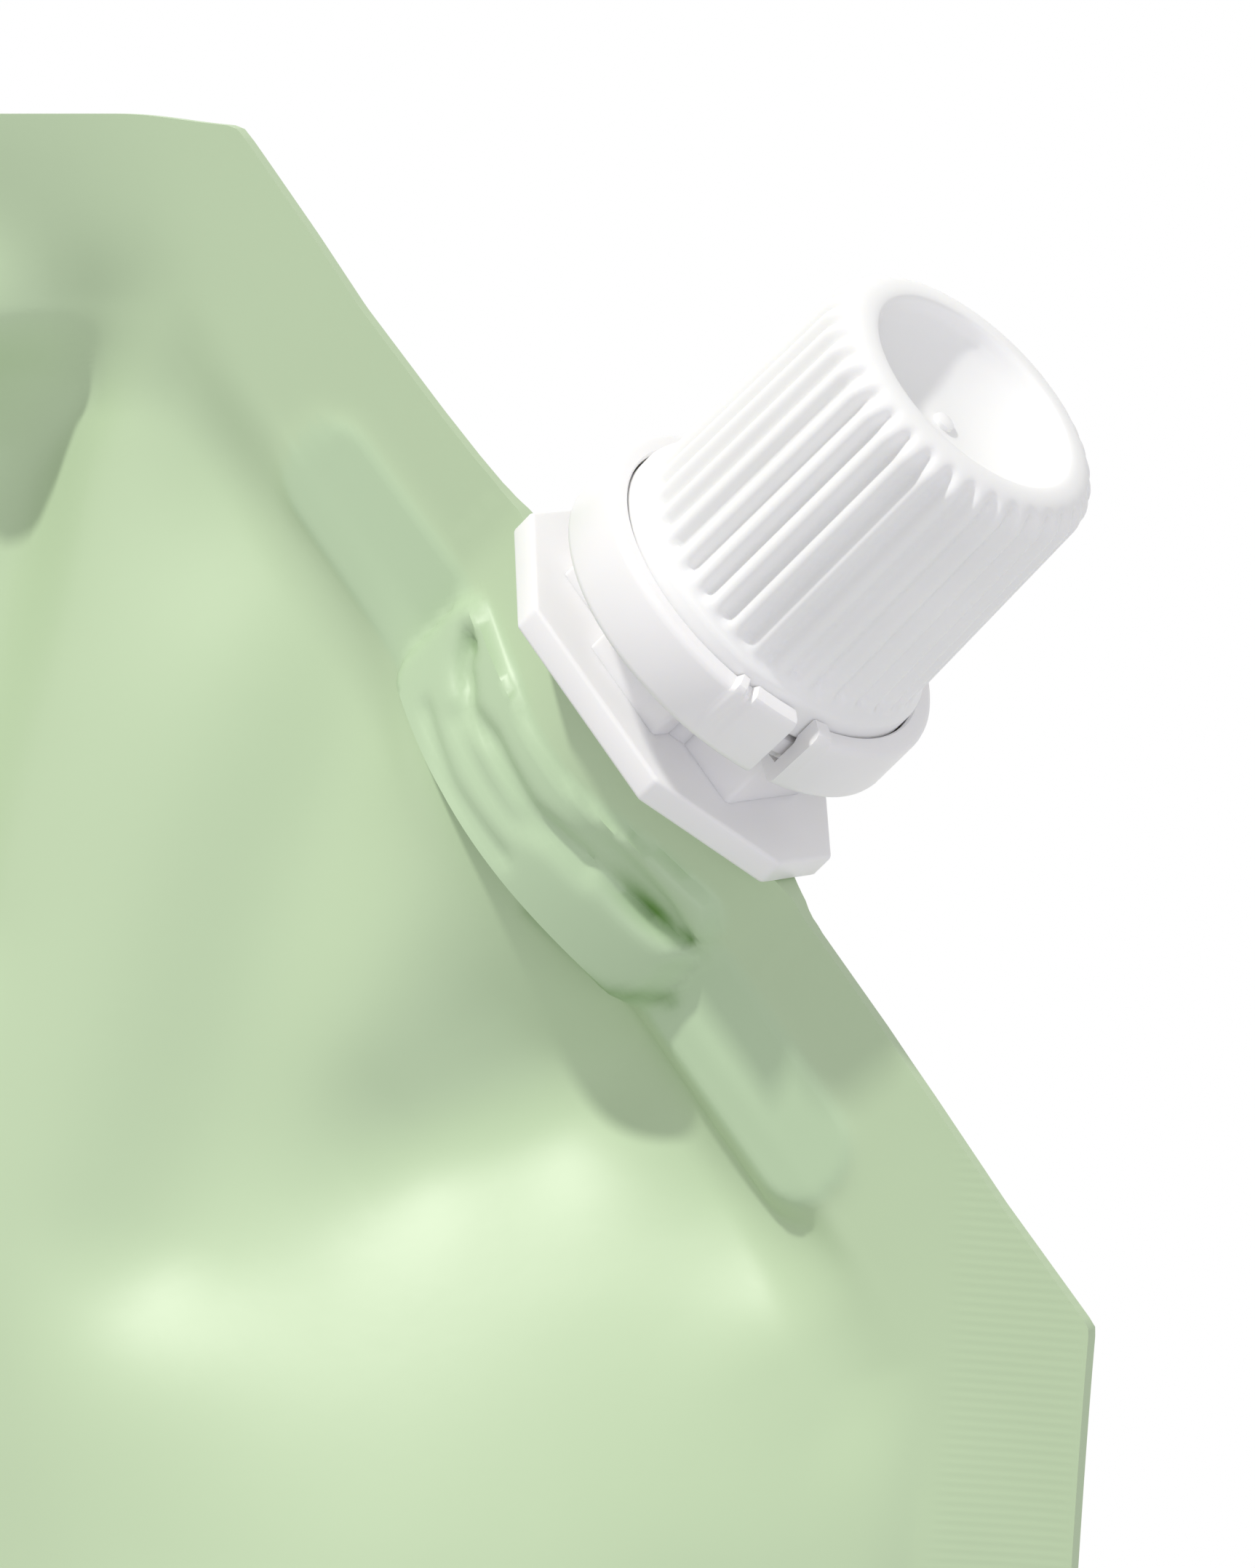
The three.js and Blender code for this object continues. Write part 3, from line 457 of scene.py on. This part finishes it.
def film_faces(x, z, settings):
    """Front and back depth of the bag, its bends, where it is backed and its painted shade, for places on
    its flat pattern.
    """
    u, h = spout_place(x, z)
    clear = 1.0 - smooth((36.0 - np.abs(u)) / 8.0) * smooth((h + 22.0) / 8.0)
    # The cut edge and the side seal beside it stay straight.
    from_cut = CUT_EDGE - h
    straight = smooth(from_cut / 14.0) * smooth((settings.width / MM / 2 - x) / 14.0)
    straight = np.maximum(straight * smooth((x - 20.0) / 20.0), smooth((CUT_TOP[0] - x) / 26.0))
    bend = stroke_rise(x, z, SEAM_BENDS) * clear * smooth(z / 30.0) * straight
    front = belly_depth(x, z, settings, BELLY_FOLDS)
    back = belly_depth(x, z, settings, BACK_FOLDS)
    relief, backed, painted_shade = weld_relief(u, h)
    # The nodding head of the bag and its empty films stay a film's thickness apart.
    front = softest(front, 2 * HALF_FILM - back, 0.2)
    return softest(front, relief, 0.45), softest(back, relief, 0.45), bend, backed, painted_shade


def zone_places(edges, counts):
    places = [edges[0]]
    for start, end, count in zip(edges, edges[1:], counts):
        places.extend(start + (end - start) * (k + 1) / count for k in range(count))
    return np.array(places)


def round_corner(x, z, corner, before, after, radius):
    """Moves the places round a corner of the pattern onto its small radius."""
    to_before = np.subtract(before, corner) / np.linalg.norm(np.subtract(before, corner))
    to_after = np.subtract(after, corner) / np.linalg.norm(np.subtract(after, corner))
    bisector = to_before + to_after
    bisector /= np.linalg.norm(bisector)
    sine = abs(to_before[0] * bisector[1] - to_before[1] * bisector[0])
    centre = np.asarray(corner) + bisector * radius / sine
    dx, dz = x - centre[0], z - centre[1]
    length = np.hypot(dx, dz) + 1e-9
    dx, dz = dx / length, dz / length
    normals = []
    for edge in (to_before, to_after):
        normal = -(bisector - edge * float(bisector @ edge))
        normals.append(normal / np.linalg.norm(normal))
    reach = [dx * n[0] + dz * n[1] for n in normals]
    wedge = -(dx * bisector[0] + dz * bisector[1]) >= -float(normals[0] @ bisector) - 1e-9
    scale = np.where(wedge, np.maximum(reach[0], reach[1]), 1.0)
    return centre[0] + dx * length * scale, centre[1] + dz * length * scale


def select_only(piece=None):
    if bpy.context.object and bpy.context.object.mode != 'OBJECT':
        bpy.ops.object.mode_set(mode='OBJECT')
    bpy.ops.object.select_all(action='DESELECT')
    if piece:
        piece.select_set(True)
        bpy.context.view_layer.objects.active = piece


def coordinates(mesh):
    values = np.empty(len(mesh.vertices) * 3)
    mesh.vertices.foreach_get("co", values)
    return values.reshape(-1, 3)


def set_coordinates(mesh, values):
    mesh.vertices.foreach_set("co", np.asarray(values, dtype=float).ravel())
    mesh.update()


def finish_piece(piece, body, material, angle=35.0):
    """Smooth shading, material, and the body that the piece belongs to."""
    select_only(piece)
    bpy.ops.object.transform_apply(location=True, rotation=True, scale=True)
    bpy.ops.object.shade_smooth_by_angle(angle=math.radians(angle))
    piece.data.materials.clear()
    piece.data.materials.append(material)
    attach(piece, body)


def seat_on_cut(piece):
    """Carries a piece from the spout's own frame to its seat on the cut corner."""
    select_only(piece)
    piece.rotation_euler = (0.0, CUT_ANGLE, 0.0)
    piece.location = (SPOUT_SEAT[0] * MM, 0.0, SPOUT_SEAT[1] * MM)
    bpy.ops.object.transform_apply(location=True, rotation=True, scale=True)


def turned(name, profile, steps, start=0.0, end=360.0, closed=False):
    """A profile of radius and height, in mm, spun round the spout's axis."""
    select_only()
    bpy.ops.mesh.primitive_circle_add(vertices=len(profile), radius=0.01, fill_type='NOTHING')
    piece = bpy.context.object
    piece.name = piece.data.name = name
    points = np.array([(r, 0.0, h) for r, h in profile]) * MM
    turn = Matrix.Rotation(math.radians(start), 3, 'Z')
    set_coordinates(piece.data, points @ np.array(turn).T)
    bpy.ops.object.mode_set(mode='EDIT')
    if not closed:
        bpy.ops.mesh.select_all(action='DESELECT')
        bpy.ops.object.mode_set(mode='OBJECT')
        ends = {0, len(profile) - 1}
        for edge in piece.data.edges:
            edge.select = set(edge.vertices) == ends
        bpy.ops.object.mode_set(mode='EDIT')
        bpy.ops.mesh.select_mode(type='EDGE')
        bpy.ops.mesh.delete(type='EDGE')
    bpy.ops.mesh.select_mode(type='VERT')
    bpy.ops.mesh.select_all(action='SELECT')
    bpy.ops.mesh.spin(steps=steps, angle=math.radians(end - start), center=(0, 0, 0), axis=(0, 0, 1))
    bpy.ops.mesh.select_all(action='SELECT')
    bpy.ops.mesh.remove_doubles(threshold=1e-6)
    if end - start < 360.0:
        bpy.ops.mesh.fill_holes(sides=0)
        bpy.ops.mesh.select_all(action='SELECT')
    bpy.ops.mesh.normals_make_consistent(inside=False)
    bpy.ops.object.mode_set(mode='OBJECT')
    return piece


def bevelled_block(name, outline, bottom, top, bevel):
    """An upright block over an outline in mm, with rounded edges."""
    select_only()
    bpy.ops.mesh.primitive_cylinder_add(vertices=len(outline), radius=0.01, depth=0.01)
    piece = bpy.context.object
    piece.name = piece.data.name = name
    spots = coordinates(piece.data)
    angles = np.round(np.arctan2(spots[:, 0], spots[:, 1]) / (2 * math.pi / len(outline))).astype(int)
    corner = np.array(outline)[angles % len(outline)]
    height = np.where(spots[:, 2] > 0, top, bottom)
    set_coordinates(piece.data, np.column_stack([corner, height]) * MM)
    bpy.ops.object.mode_set(mode='EDIT')
    bpy.ops.mesh.select_all(action='SELECT')
    bpy.ops.mesh.normals_make_consistent(inside=False)
    bpy.ops.mesh.bevel(offset=bevel * MM, segments=3, affect='EDGES')
    bpy.ops.object.mode_set(mode='OBJECT')
    return piece


def thread_ridge(name, root, reach, bottom, turns, pitch, width):
    """A screw thread round the axis: a small section carried up by a screw, thinned out at both ends."""
    select_only()
    bpy.ops.mesh.primitive_circle_add(vertices=6, radius=0.001, fill_type='NOTHING')
    piece = bpy.context.object
    piece.name = piece.data.name = name
    half = width / 2
    section = [(root, -half), (root + reach * 0.75, -half * 0.45), (root + reach, -half * 0.2),
               (root + reach, half * 0.2), (root + reach * 0.75, half * 0.45), (root, half)]
    set_coordinates(piece.data, np.array([(r, 0.0, bottom + h) for r, h in section]) * MM)
    steps = 56
    screw = piece.modifiers.new("thread", 'SCREW')
    screw.steps = screw.render_steps = steps
    screw.iterations = turns
    screw.screw_offset = pitch * MM
    bpy.ops.object.modifier_apply(modifier=screw.name)
    spots = coordinates(piece.data)
    radius = np.hypot(spots[:, 0], spots[:, 1])
    total = turns * steps + 1
    order = np.arange(len(spots)) // 6 if len(spots) == total * 6 else None
    if order is not None:
        travel = np.minimum(order, total - 1 - order) / 9.0
        keep = root * MM + (radius - root * MM) * smooth(travel)
        spots[:, 0] *= keep / radius
        spots[:, 1] *= keep / radius
        set_coordinates(piece.data, spots)
    bpy.ops.object.mode_set(mode='EDIT')
    bpy.ops.mesh.select_all(action='SELECT')
    bpy.ops.mesh.fill_holes(sides=0)
    bpy.ops.mesh.select_all(action='SELECT')
    bpy.ops.mesh.normals_make_consistent(inside=False)
    bpy.ops.object.mode_set(mode='OBJECT')
    return piece


def join(pieces, name):
    select_only(pieces[0])
    for piece in pieces[1:]:
        piece.select_set(True)
    bpy.ops.object.join()
    joined = bpy.context.object
    joined.name = joined.data.name = name
    return joined


class REFILLPOUCH_OT_film(bpy.types.Operator):
    """Make the filled film bag with its seals, folds, base gusset and the relief of the weld base"""

    bl_idname = "refill_pouch.make_film"
    bl_label = "Film bag"

    def execute(self, context):
        settings = context.scene.refill_film
        half = settings.width / MM / 2
        height = settings.height / MM
        columns = zone_places((-half, *COLUMN_ZONES, half), COLUMN_STEPS)
        depths = zone_places(ROW_ZONES, ROW_STEPS)
        across, up = len(columns) - 1, len(depths) - 1 + LOW_ROWS
        select_only()
        bpy.ops.mesh.primitive_grid_add(x_subdivisions=across, y_subdivisions=up, size=1.0)
        piece = context.object
        piece.name = piece.data.name = "pouch_film"
        bpy.ops.object.mode_set(mode='EDIT')
        bpy.ops.mesh.select_all(action='SELECT')
        bpy.ops.mesh.extrude_region_move(TRANSFORM_OT_translate={"value": (0, 0, 1)})
        bpy.ops.object.mode_set(mode='OBJECT')
        # The strip under the bag is cut into steps and becomes the folded-in base film.
        sheet = bmesh.new()
        sheet.from_mesh(piece.data)
        rungs = [edge for edge in sheet.edges
                 if all(v.co.y < -0.4999 for v in edge.verts)
                 and abs(edge.verts[0].co.z - edge.verts[1].co.z) > 0.5]
        bmesh.ops.subdivide_edges(sheet, edges=rungs, cuts=GUSSET_STEPS - 1)
        sheet.to_mesh(piece.data)
        sheet.free()
        spots = coordinates(piece.data)
        column = np.rint((spots[:, 0] + 0.5) * across).astype(int)
        row = np.rint((spots[:, 1] + 0.5) * up).astype(int)
        side = spots[:, 2]
        x = columns[column]
        slope = -ALONG[1] / ALONG[0]
        depth = depths[np.clip(up - row, 0, len(depths) - 1)]

        def edge_height(below):
            flat = height - below
            cut = CUT_TOP[1] - slope * (x - CUT_TOP[0]) - below / ALONG[0]
            return (flat + cut - np.sqrt((flat - cut) ** 2 + 0.15)) / 2

        z = edge_height(depth)
        low = row < LOW_ROWS
        z = np.where(low, edge_height(np.full_like(x, depths[-1])) * row / LOW_ROWS, z)
        corners = ((-half, 0.0), (half, 0.0), FOOT_CORNER, CUT_TOP, (-half, height))
        for k, radius in CORNER_RADII:
            x, z = round_corner(x, z, corners[k], corners[k - 1], corners[(k + 1) % 5], radius)
        front, back, bend, backed, painted_shade = film_faces(x, z, settings)
        # The trimmed edges stray a little from their lines.
        u, h = spout_place(x, z)
        stray = np.interp(u, EDGE_PLACES, EDGE_STRAYS) * np.exp(np.minimum(h - CUT_EDGE, 0.0) / 5.0)
        stray *= smooth((x - CUT_TOP[0] + 3.0) / 4.0)
        rise = 0.7 * smooth((CUT_TOP[0] - x) / 9.0) * np.exp(-(height - z) / 6.0)
        y = np.where(side < 0.5, -front, back) - bend
        inner = (side > 1e-4) & (side < 1 - 1e-4)
        step = np.rint(side * GUSSET_STEPS)
        way = 1.0 - 2.0 * (step - 1.0) / (GUSSET_STEPS - 2.0)
        free = smooth((half - SIDE_SEAL - 1.2 - np.abs(x)) / 1.5)
        hollow_half = np.maximum(front - settings.rim / MM, 0.3)
        fold = settings.gusset / MM
        ridge = np.sqrt(np.maximum(fold ** 2 - np.minimum(front, fold) ** 2, 0.0))
        tent = ridge * (1.0 - np.abs(way) ** 1.6) * free
        y = np.where(inner, -way * hollow_half * free - way * HALF_FILM * 0.8 * (1.0 - free), y)
        # Foot corners are rounded, so the strip there starts at their height.
        z_all = np.where(inner, z + tent, z)
        pulled = settings.waist / MM / half
        share = np.clip(z / FOOT_CORNER[1], 0.0, 1.0)
        x_all = x * (1.0 - pulled * np.sin(math.pi * share))
        x_all = x_all + stray * AWAY[0]
        z_all = z_all + stray * AWAY[1] + rise
        set_coordinates(piece.data, np.column_stack([x_all, y, z_all]) * MM)
        crimp = smooth((np.abs(x) - half + SIDE_SEAL) / 2.0) * smooth((half - np.abs(x)) / 0.8)
        # The hollow attribute carries the painted shade.
        for name, values in (("backing", backed), ("hollow", painted_shade), ("crimp", crimp)):
            attribute = piece.data.attributes.new(name, 'FLOAT', 'POINT')
            attribute.data.foreach_set("value", values.astype(np.float32))
        select_only(piece)
        bpy.ops.object.mode_set(mode='EDIT')
        bpy.ops.mesh.select_all(action='SELECT')
        bpy.ops.mesh.normals_make_consistent(inside=False)
        bpy.ops.object.mode_set(mode='OBJECT')
        finish_piece(piece, "pouch", laminate_material(settings), 50.0)
        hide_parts("pouch_body")
        return {'FINISHED'}


class REFILLPOUCH_OT_spout(bpy.types.Operator):
    """Make the spout moulding: octagonal flange, lugs, neck, collar and threaded mouth"""

    bl_idname = "refill_pouch.make_spout"
    bl_label = "Spout"

    def execute(self, context):
        settings = context.scene.refill_spout
        neck = settings.neck / MM
        mouth = settings.mouth / MM
        top = settings.mouth_height / MM
        bore = mouth - 1.4
        body = turned("spout_moulding", [
            (0.0, -1.5), (5.0, -1.5), (neck, -0.2), (neck, 6.7), (neck + 0.35, 7.3), (neck + 1.2, 7.8),
            (11.25, COLLAR_BOTTOM), (11.5, 8.0), (11.6, 8.2), (11.6, 9.0), (11.5, 9.2),
            (11.25, COLLAR_TOP), (mouth + 0.9, COLLAR_TOP), (mouth + 0.3, 9.45), (mouth, 10.1),
            (mouth, top - 0.5), (mouth - 0.15, top - 0.15), (mouth - 0.5, top),
            (bore + 0.3, top), (bore + 0.08, top - 0.08), (bore, top - 0.3), (bore, COLLAR_BOTTOM),
            (4.5, COLLAR_BOTTOM - 2), (4.3, COLLAR_BOTTOM - 2.6), (4.3, 0.2), (0.0, 0.2),
        ], 96)
        length, width, side_half, end_half = 14.4, 9.7, 7.0, 3.05
        octagon = [(side_half, -width), (length, -end_half), (length, end_half), (side_half, width),
                   (-side_half, width), (-length, end_half), (-length, -end_half), (-side_half, -width)]
        flange = bevelled_block("flange", octagon, 0.0, FLANGE_HEIGHT, 0.3)
        pieces = [body, flange]
        for name, half_a, half_b in (("front_lugs", 3.65, 6.9), ("end_lugs", 9.4, 4.3)):
            outline = [(half_a, -half_b), (half_a, half_b), (-half_a, half_b), (-half_a, -half_b)]
            pieces.append(bevelled_block(name, outline, 1.0, COLLAR_BOTTOM + 0.3, 0.35))
        pieces.append(thread_ridge("neck_thread", mouth - 0.1, 0.95, 13.2, 3, settings.pitch / MM, 1.7))
        piece = join(pieces, "spout_moulding")
        seat_on_cut(piece)
        material = moulded_material("moulded_polyethylene", settings.colour, 0.36, 900.0)
        finish_piece(piece, "pouch", material, 40.0)
        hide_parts("spout")
        return {'FINISHED'}


class REFILLPOUCH_OT_band(bpy.types.Operator):
    """Make the tamper band with its raised ends either side of the gap"""

    bl_idname = "refill_pouch.make_band"
    bl_label = "Tamper band"

    def execute(self, context):
        settings = context.scene.refill_spout
        outer = settings.band_radius / MM
        inner = outer - 1.15
        lip = outer - 1.42
        bottom, top = 6.65, 11.3
        # Where round the axis the band is open, in degrees.
        middle = -42.4
        half_gap = math.degrees(settings.band_gap / MM / outer / 2)
        start, end = middle + half_gap, middle + 360.0 - half_gap
        piece = turned("tamper_ring", [
            (inner - 1.3, bottom + 0.15), (inner - 1.15, bottom), (outer - 0.55, bottom),
            (outer - 0.25, bottom + 0.08), (outer - 0.08, bottom + 0.25), (outer, bottom + 0.55),
            (outer, top - 0.6), (outer - 0.08, top - 0.28), (outer - 0.25, top - 0.08),
            (outer - 0.5, top), (lip + 0.15, top), (lip, top - 0.15), (lip, 9.9), (inner, 9.5),
            (inner, 7.65), (inner - 1.0, 7.35), (inner - 1.3, 7.05),
        ], 300, start, end, closed=True)
        spots = coordinates(piece.data) / MM
        angle = np.degrees(np.arctan2(spots[:, 1], spots[:, 0]))
        angle = np.where(angle < start - 0.01, angle + 360.0, angle)
        from_start, from_end = angle - start, end - angle
        near = np.minimum(from_start, from_end)
        raised = np.where(near < 13.0, 1.0, 0.0)
        # One broken bridge has left a notch in the end block beside the gap.
        notch = (from_end > 7.2) & (from_end < 9.6)
        raised = np.where(notch, 0.1, raised)
        upper = np.clip((spots[:, 2] - 9.2) / (top - 9.2), 0.0, 1.0)
        spots[:, 2] += 0.45 * raised * upper
        # The torn end's outer edge stands a little proud.
        radius = np.hypot(spots[:, 0], spots[:, 1])
        proud = 0.22 * raised * upper * (radius > inner + 0.4)
        spots[:, 0] *= (radius + proud) / radius
        spots[:, 1] *= (radius + proud) / radius
        set_coordinates(piece.data, spots * MM)
        seat_on_cut(piece)
        material = moulded_material("moulded_polypropylene_band", settings.colour, 0.33, 800.0)
        finish_piece(piece, "pouch", material, 32.0)
        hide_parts("tamper_band")
        return {'FINISHED'}


class REFILLPOUCH_OT_cap(bpy.types.Operator):
    """Make the ribbed screw cap with its round shoulder, dished top and inner thread"""

    bl_idname = "refill_pouch.make_cap"
    bl_label = "Screw cap"

    def execute(self, context):
        settings = context.scene.refill_cap
        spout = context.scene.refill_spout
        radius = settings.radius / MM
        top = CAP_FOOT + settings.height / MM
        dish_radius, dish_depth = settings.dish_radius / MM, settings.dish_depth / MM
        foot = 11.6
        draft = math.tan(math.radians(1.5))
        rib_start = 12.9
        shoulder = 2.1
        hollow = 8.6
        seal = spout.mouth_height / MM + 0.3
        wall_top = radius - draft * (top - shoulder - rib_start)
        rim = dish_radius + 0.6
        # A small gate mark stands in the middle of the dish.
        dish = top - dish_depth
        profile = [(0.0, dish + 0.4), (0.5, dish + 0.4), (0.68, dish + 0.3), (0.75, dish + 0.02),
                   (1.2, dish)]
        for k in range(1, 9):
            share = k / 8
            profile.append((1.26 + (dish_radius - 0.5 - 1.26) * share,
                            dish + (dish_depth - 1.1) * share ** 2.2))
        profile += [(dish_radius - 0.28, top - 0.7), (dish_radius - 0.14, top - 0.3),
                    (dish_radius, top - 0.08), (dish_radius + 0.2, top)]
        for k in range(9):
            turn = math.pi / 2 * k / 8
            profile.append((rim + (wall_top - rim) * math.sin(turn),
                            top - shoulder * (1.0 - math.cos(turn))))
        for k in range(1, 9):
            level = top - shoulder - (top - shoulder - rib_start - 0.7) * k / 8
            profile.append((radius - draft * (level - rib_start), level))
        profile += [(radius + 0.03, rib_start + 0.35), (radius + 0.08, rib_start), (radius + 0.2, 12.6),
                    (foot - 0.22, 12.42), (foot - 0.07, 12.25), (foot, 12.0), (foot, 9.8),
                    (foot - 0.2, CAP_FOOT), (hollow + 0.6, CAP_FOOT), (hollow, 10.2),
                    (hollow, seal + 0.1), (hollow - 0.5, seal + 0.6), (7.6, seal + 0.6), (7.4, seal),
                    (6.2, seal), (6.0, seal + 0.4), (0.0, seal + 0.4)]
        steps_per_rib = 14
        piece = turned("ribbed_cap", profile, settings.ribs * steps_per_rib)
        spots = coordinates(piece.data) / MM
        distance = np.hypot(spots[:, 0], spots[:, 1])
        angle = np.arctan2(spots[:, 1], spots[:, 0])
        wave = 0.5 - 0.5 * np.cos(settings.ribs * angle)
        lower = smooth((spots[:, 2] - rib_start + 0.1) / 0.55)
        upper = 1.0 - smooth((spots[:, 2] - top + 1.1) / 0.95)
        outside = distance > hollow + 0.2
        groove = settings.rib_depth / MM * wave ** 1.35 * lower * upper * outside
        scale = np.where(distance > 0.01, (distance - groove) / np.maximum(distance, 0.01), 1.0)
        spots[:, 0] *= scale
        spots[:, 1] *= scale
        set_coordinates(piece.data, spots * MM)
        thread = thread_ridge("cap_thread", hollow + 0.1, -0.9, 14.7, 3, spout.pitch / MM, 1.6)
        piece = join([piece, thread], "ribbed_cap")
        seat_on_cut(piece)
        material = moulded_material("moulded_polypropylene_cap", settings.colour, 0.34, 700.0)
        finish_piece(piece, "cap", material, 40.0)
        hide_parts("screw_cap")
        return {'FINISHED'}


class REFILLPOUCH_OT_stage(bpy.types.Operator):
    """Set up the pale floor, the key light, the light from all around and the camera"""

    bl_idname = "refill_pouch.make_stage"
    bl_label = "Stage"

    def execute(self, context):
        settings = context.scene.refill_stage
        select_only()
        bpy.ops.mesh.primitive_circle_add(vertices=96, radius=settings.floor_radius, fill_type='NGON',
                                          location=(0.0, 0.0, -0.0002))
        floor = context.object
        floor.name = floor.data.name = "floor"
        bpy.ops.object.transform_apply(location=True)
        material, _, shader = new_material("pale_floor", roughness=0.9, ior=1.45)
        shader.inputs["Base Color"].default_value = linear("#F2F2F2")
        floor.data.materials.append(material)
        # The object takes its soft light from all around alone.
        floor.visible_diffuse = False
        # Name, strength, width in degrees, direction towards the light, colour.
        for name, strength, spread, towards, tint in (
                ("key_light", settings.sun, 3.5, (-0.176, -0.406, 0.897), "#FFFEF8"),
                ("fill_light", settings.fill, 70.0, (0.75, -0.5, -0.43), "#F4F2FF")):
            lamp = bpy.data.lights.new(name, 'SUN')
            lamp.color = linear(tint)[:3]
            lamp.energy = strength
            lamp.angle = math.radians(spread)
            light = bpy.data.objects.new(name, lamp)
            light.rotation_euler = Vector(towards).to_track_quat('Z', 'Y').to_euler()
            context.scene.collection.objects.link(light)
        world = bpy.data.worlds.new("studio")
        context.scene.world = world
        world.use_nodes = True
        tree = world.node_tree
        tree.nodes.clear()
        path = add_node(tree, "ShaderNodeLightPath").outputs
        seen = add_node(tree, "ShaderNodeMath", {0: path["Is Camera Ray"], 1: path["Is Glossy Ray"]},
                        operation='MAXIMUM')
        seen = add_node(tree, "ShaderNodeMath", {0: seen.outputs[0], 1: path["Is Transmission Ray"]},
                        operation='MAXIMUM')
        soft = add_node(tree, "ShaderNodeBackground", {"Color": linear("#FFFFFF"),
                                                       "Strength": settings.ambient})
        white = add_node(tree, "ShaderNodeBackground", {"Color": linear("#FFFFFF"), "Strength": 1.0})
        mixed = add_node(tree, "ShaderNodeMixShader", {0: seen.outputs[0], 1: soft.outputs[0],
                                                       2: white.outputs[0]})
        add_node(tree, "ShaderNodeOutputWorld", {"Surface": mixed.outputs[0]})
        self.place_camera(context)
        context.scene.view_settings.view_transform = 'Standard'
        return {'FINISHED'}

    def place_camera(self, context):
        """The photograph's camera: from the front right, a little above the spout."""
        turn, rise, roll = (math.radians(v) for v in (33.944, 4.538, -0.234))
        away = Vector((math.sin(turn) * math.cos(rise), -math.cos(turn) * math.cos(rise), math.sin(rise)))
        right = Vector((math.cos(turn), math.sin(turn), 0.0))
        up = away.cross(right)
        right = right * math.cos(roll) + up * math.sin(roll)
        up = away.cross(right)
        aimed = Vector((0.05018, 0.0, 0.212))
        distance = 0.610987
        eye = aimed + away * distance
        # The frame's middle lies right of and below the point that the camera was measured at.
        middle = aimed + right * 0.000284 - up * 0.003926
        away = (eye - middle).normalized()
        right = up.cross(away).normalized()
        up = away.cross(right)
        camera_data = bpy.data.cameras.new("photo_camera")
        camera_data.lens = 219.19
        camera_data.sensor_width = 36.0
        camera_data.sensor_fit = 'AUTO'
        camera_data.clip_start = 0.05
        camera = bpy.data.objects.new("photo_camera", camera_data)
        camera.matrix_world = Matrix((
            (right.x, up.x, away.x, eye.x),
            (right.y, up.y, away.y, eye.y),
            (right.z, up.z, away.z, eye.z),
            (0.0, 0.0, 0.0, 1.0)))
        context.scene.collection.objects.link(camera)
        context.scene.camera = camera


class REFILLPOUCH_PT_panel(bpy.types.Panel):
    """Settings and steps of the refill pouch"""

    bl_idname = "REFILLPOUCH_PT_panel"
    bl_label = "Refill Pouch"
    bl_space_type = 'VIEW_3D'
    bl_region_type = 'UI'
    bl_category = "Refill Pouch"

    def draw(self, context):
        scene = context.scene
        for title, group in (("Film bag", scene.refill_film), ("Spout and band", scene.refill_spout),
                             ("Cap", scene.refill_cap), ("Stage", scene.refill_stage)):
            box = self.layout.box()
            box.label(text=title)
            for key in group.__annotations__:
                box.prop(group, key)
        for operator in OPERATORS:
            self.layout.operator(operator.bl_idname)


GROUPS = {"refill_film": FilmSettings, "refill_spout": SpoutSettings, "refill_cap": CapSettings,
          "refill_stage": StageSettings}
OPERATORS = (REFILLPOUCH_OT_film, REFILLPOUCH_OT_spout, REFILLPOUCH_OT_band, REFILLPOUCH_OT_cap,
             REFILLPOUCH_OT_stage)


def register():
    for kind in (*GROUPS.values(), *OPERATORS, REFILLPOUCH_PT_panel):
        bpy.utils.register_class(kind)
    for name, kind in GROUPS.items():
        setattr(bpy.types.Scene, name, bpy.props.PointerProperty(type=kind))


def unregister():
    for name in GROUPS:
        delattr(bpy.types.Scene, name)
    for kind in (REFILLPOUCH_PT_panel, *reversed(OPERATORS), *reversed(GROUPS.values())):
        bpy.utils.unregister_class(kind)


def main():
    register()
    bpy.ops.refill_pouch.make_stage()
    bpy.ops.refill_pouch.make_film()
    bpy.ops.refill_pouch.make_spout()
    bpy.ops.refill_pouch.make_band()
    bpy.ops.refill_pouch.make_cap()


if __name__ == "__main__":
    main()
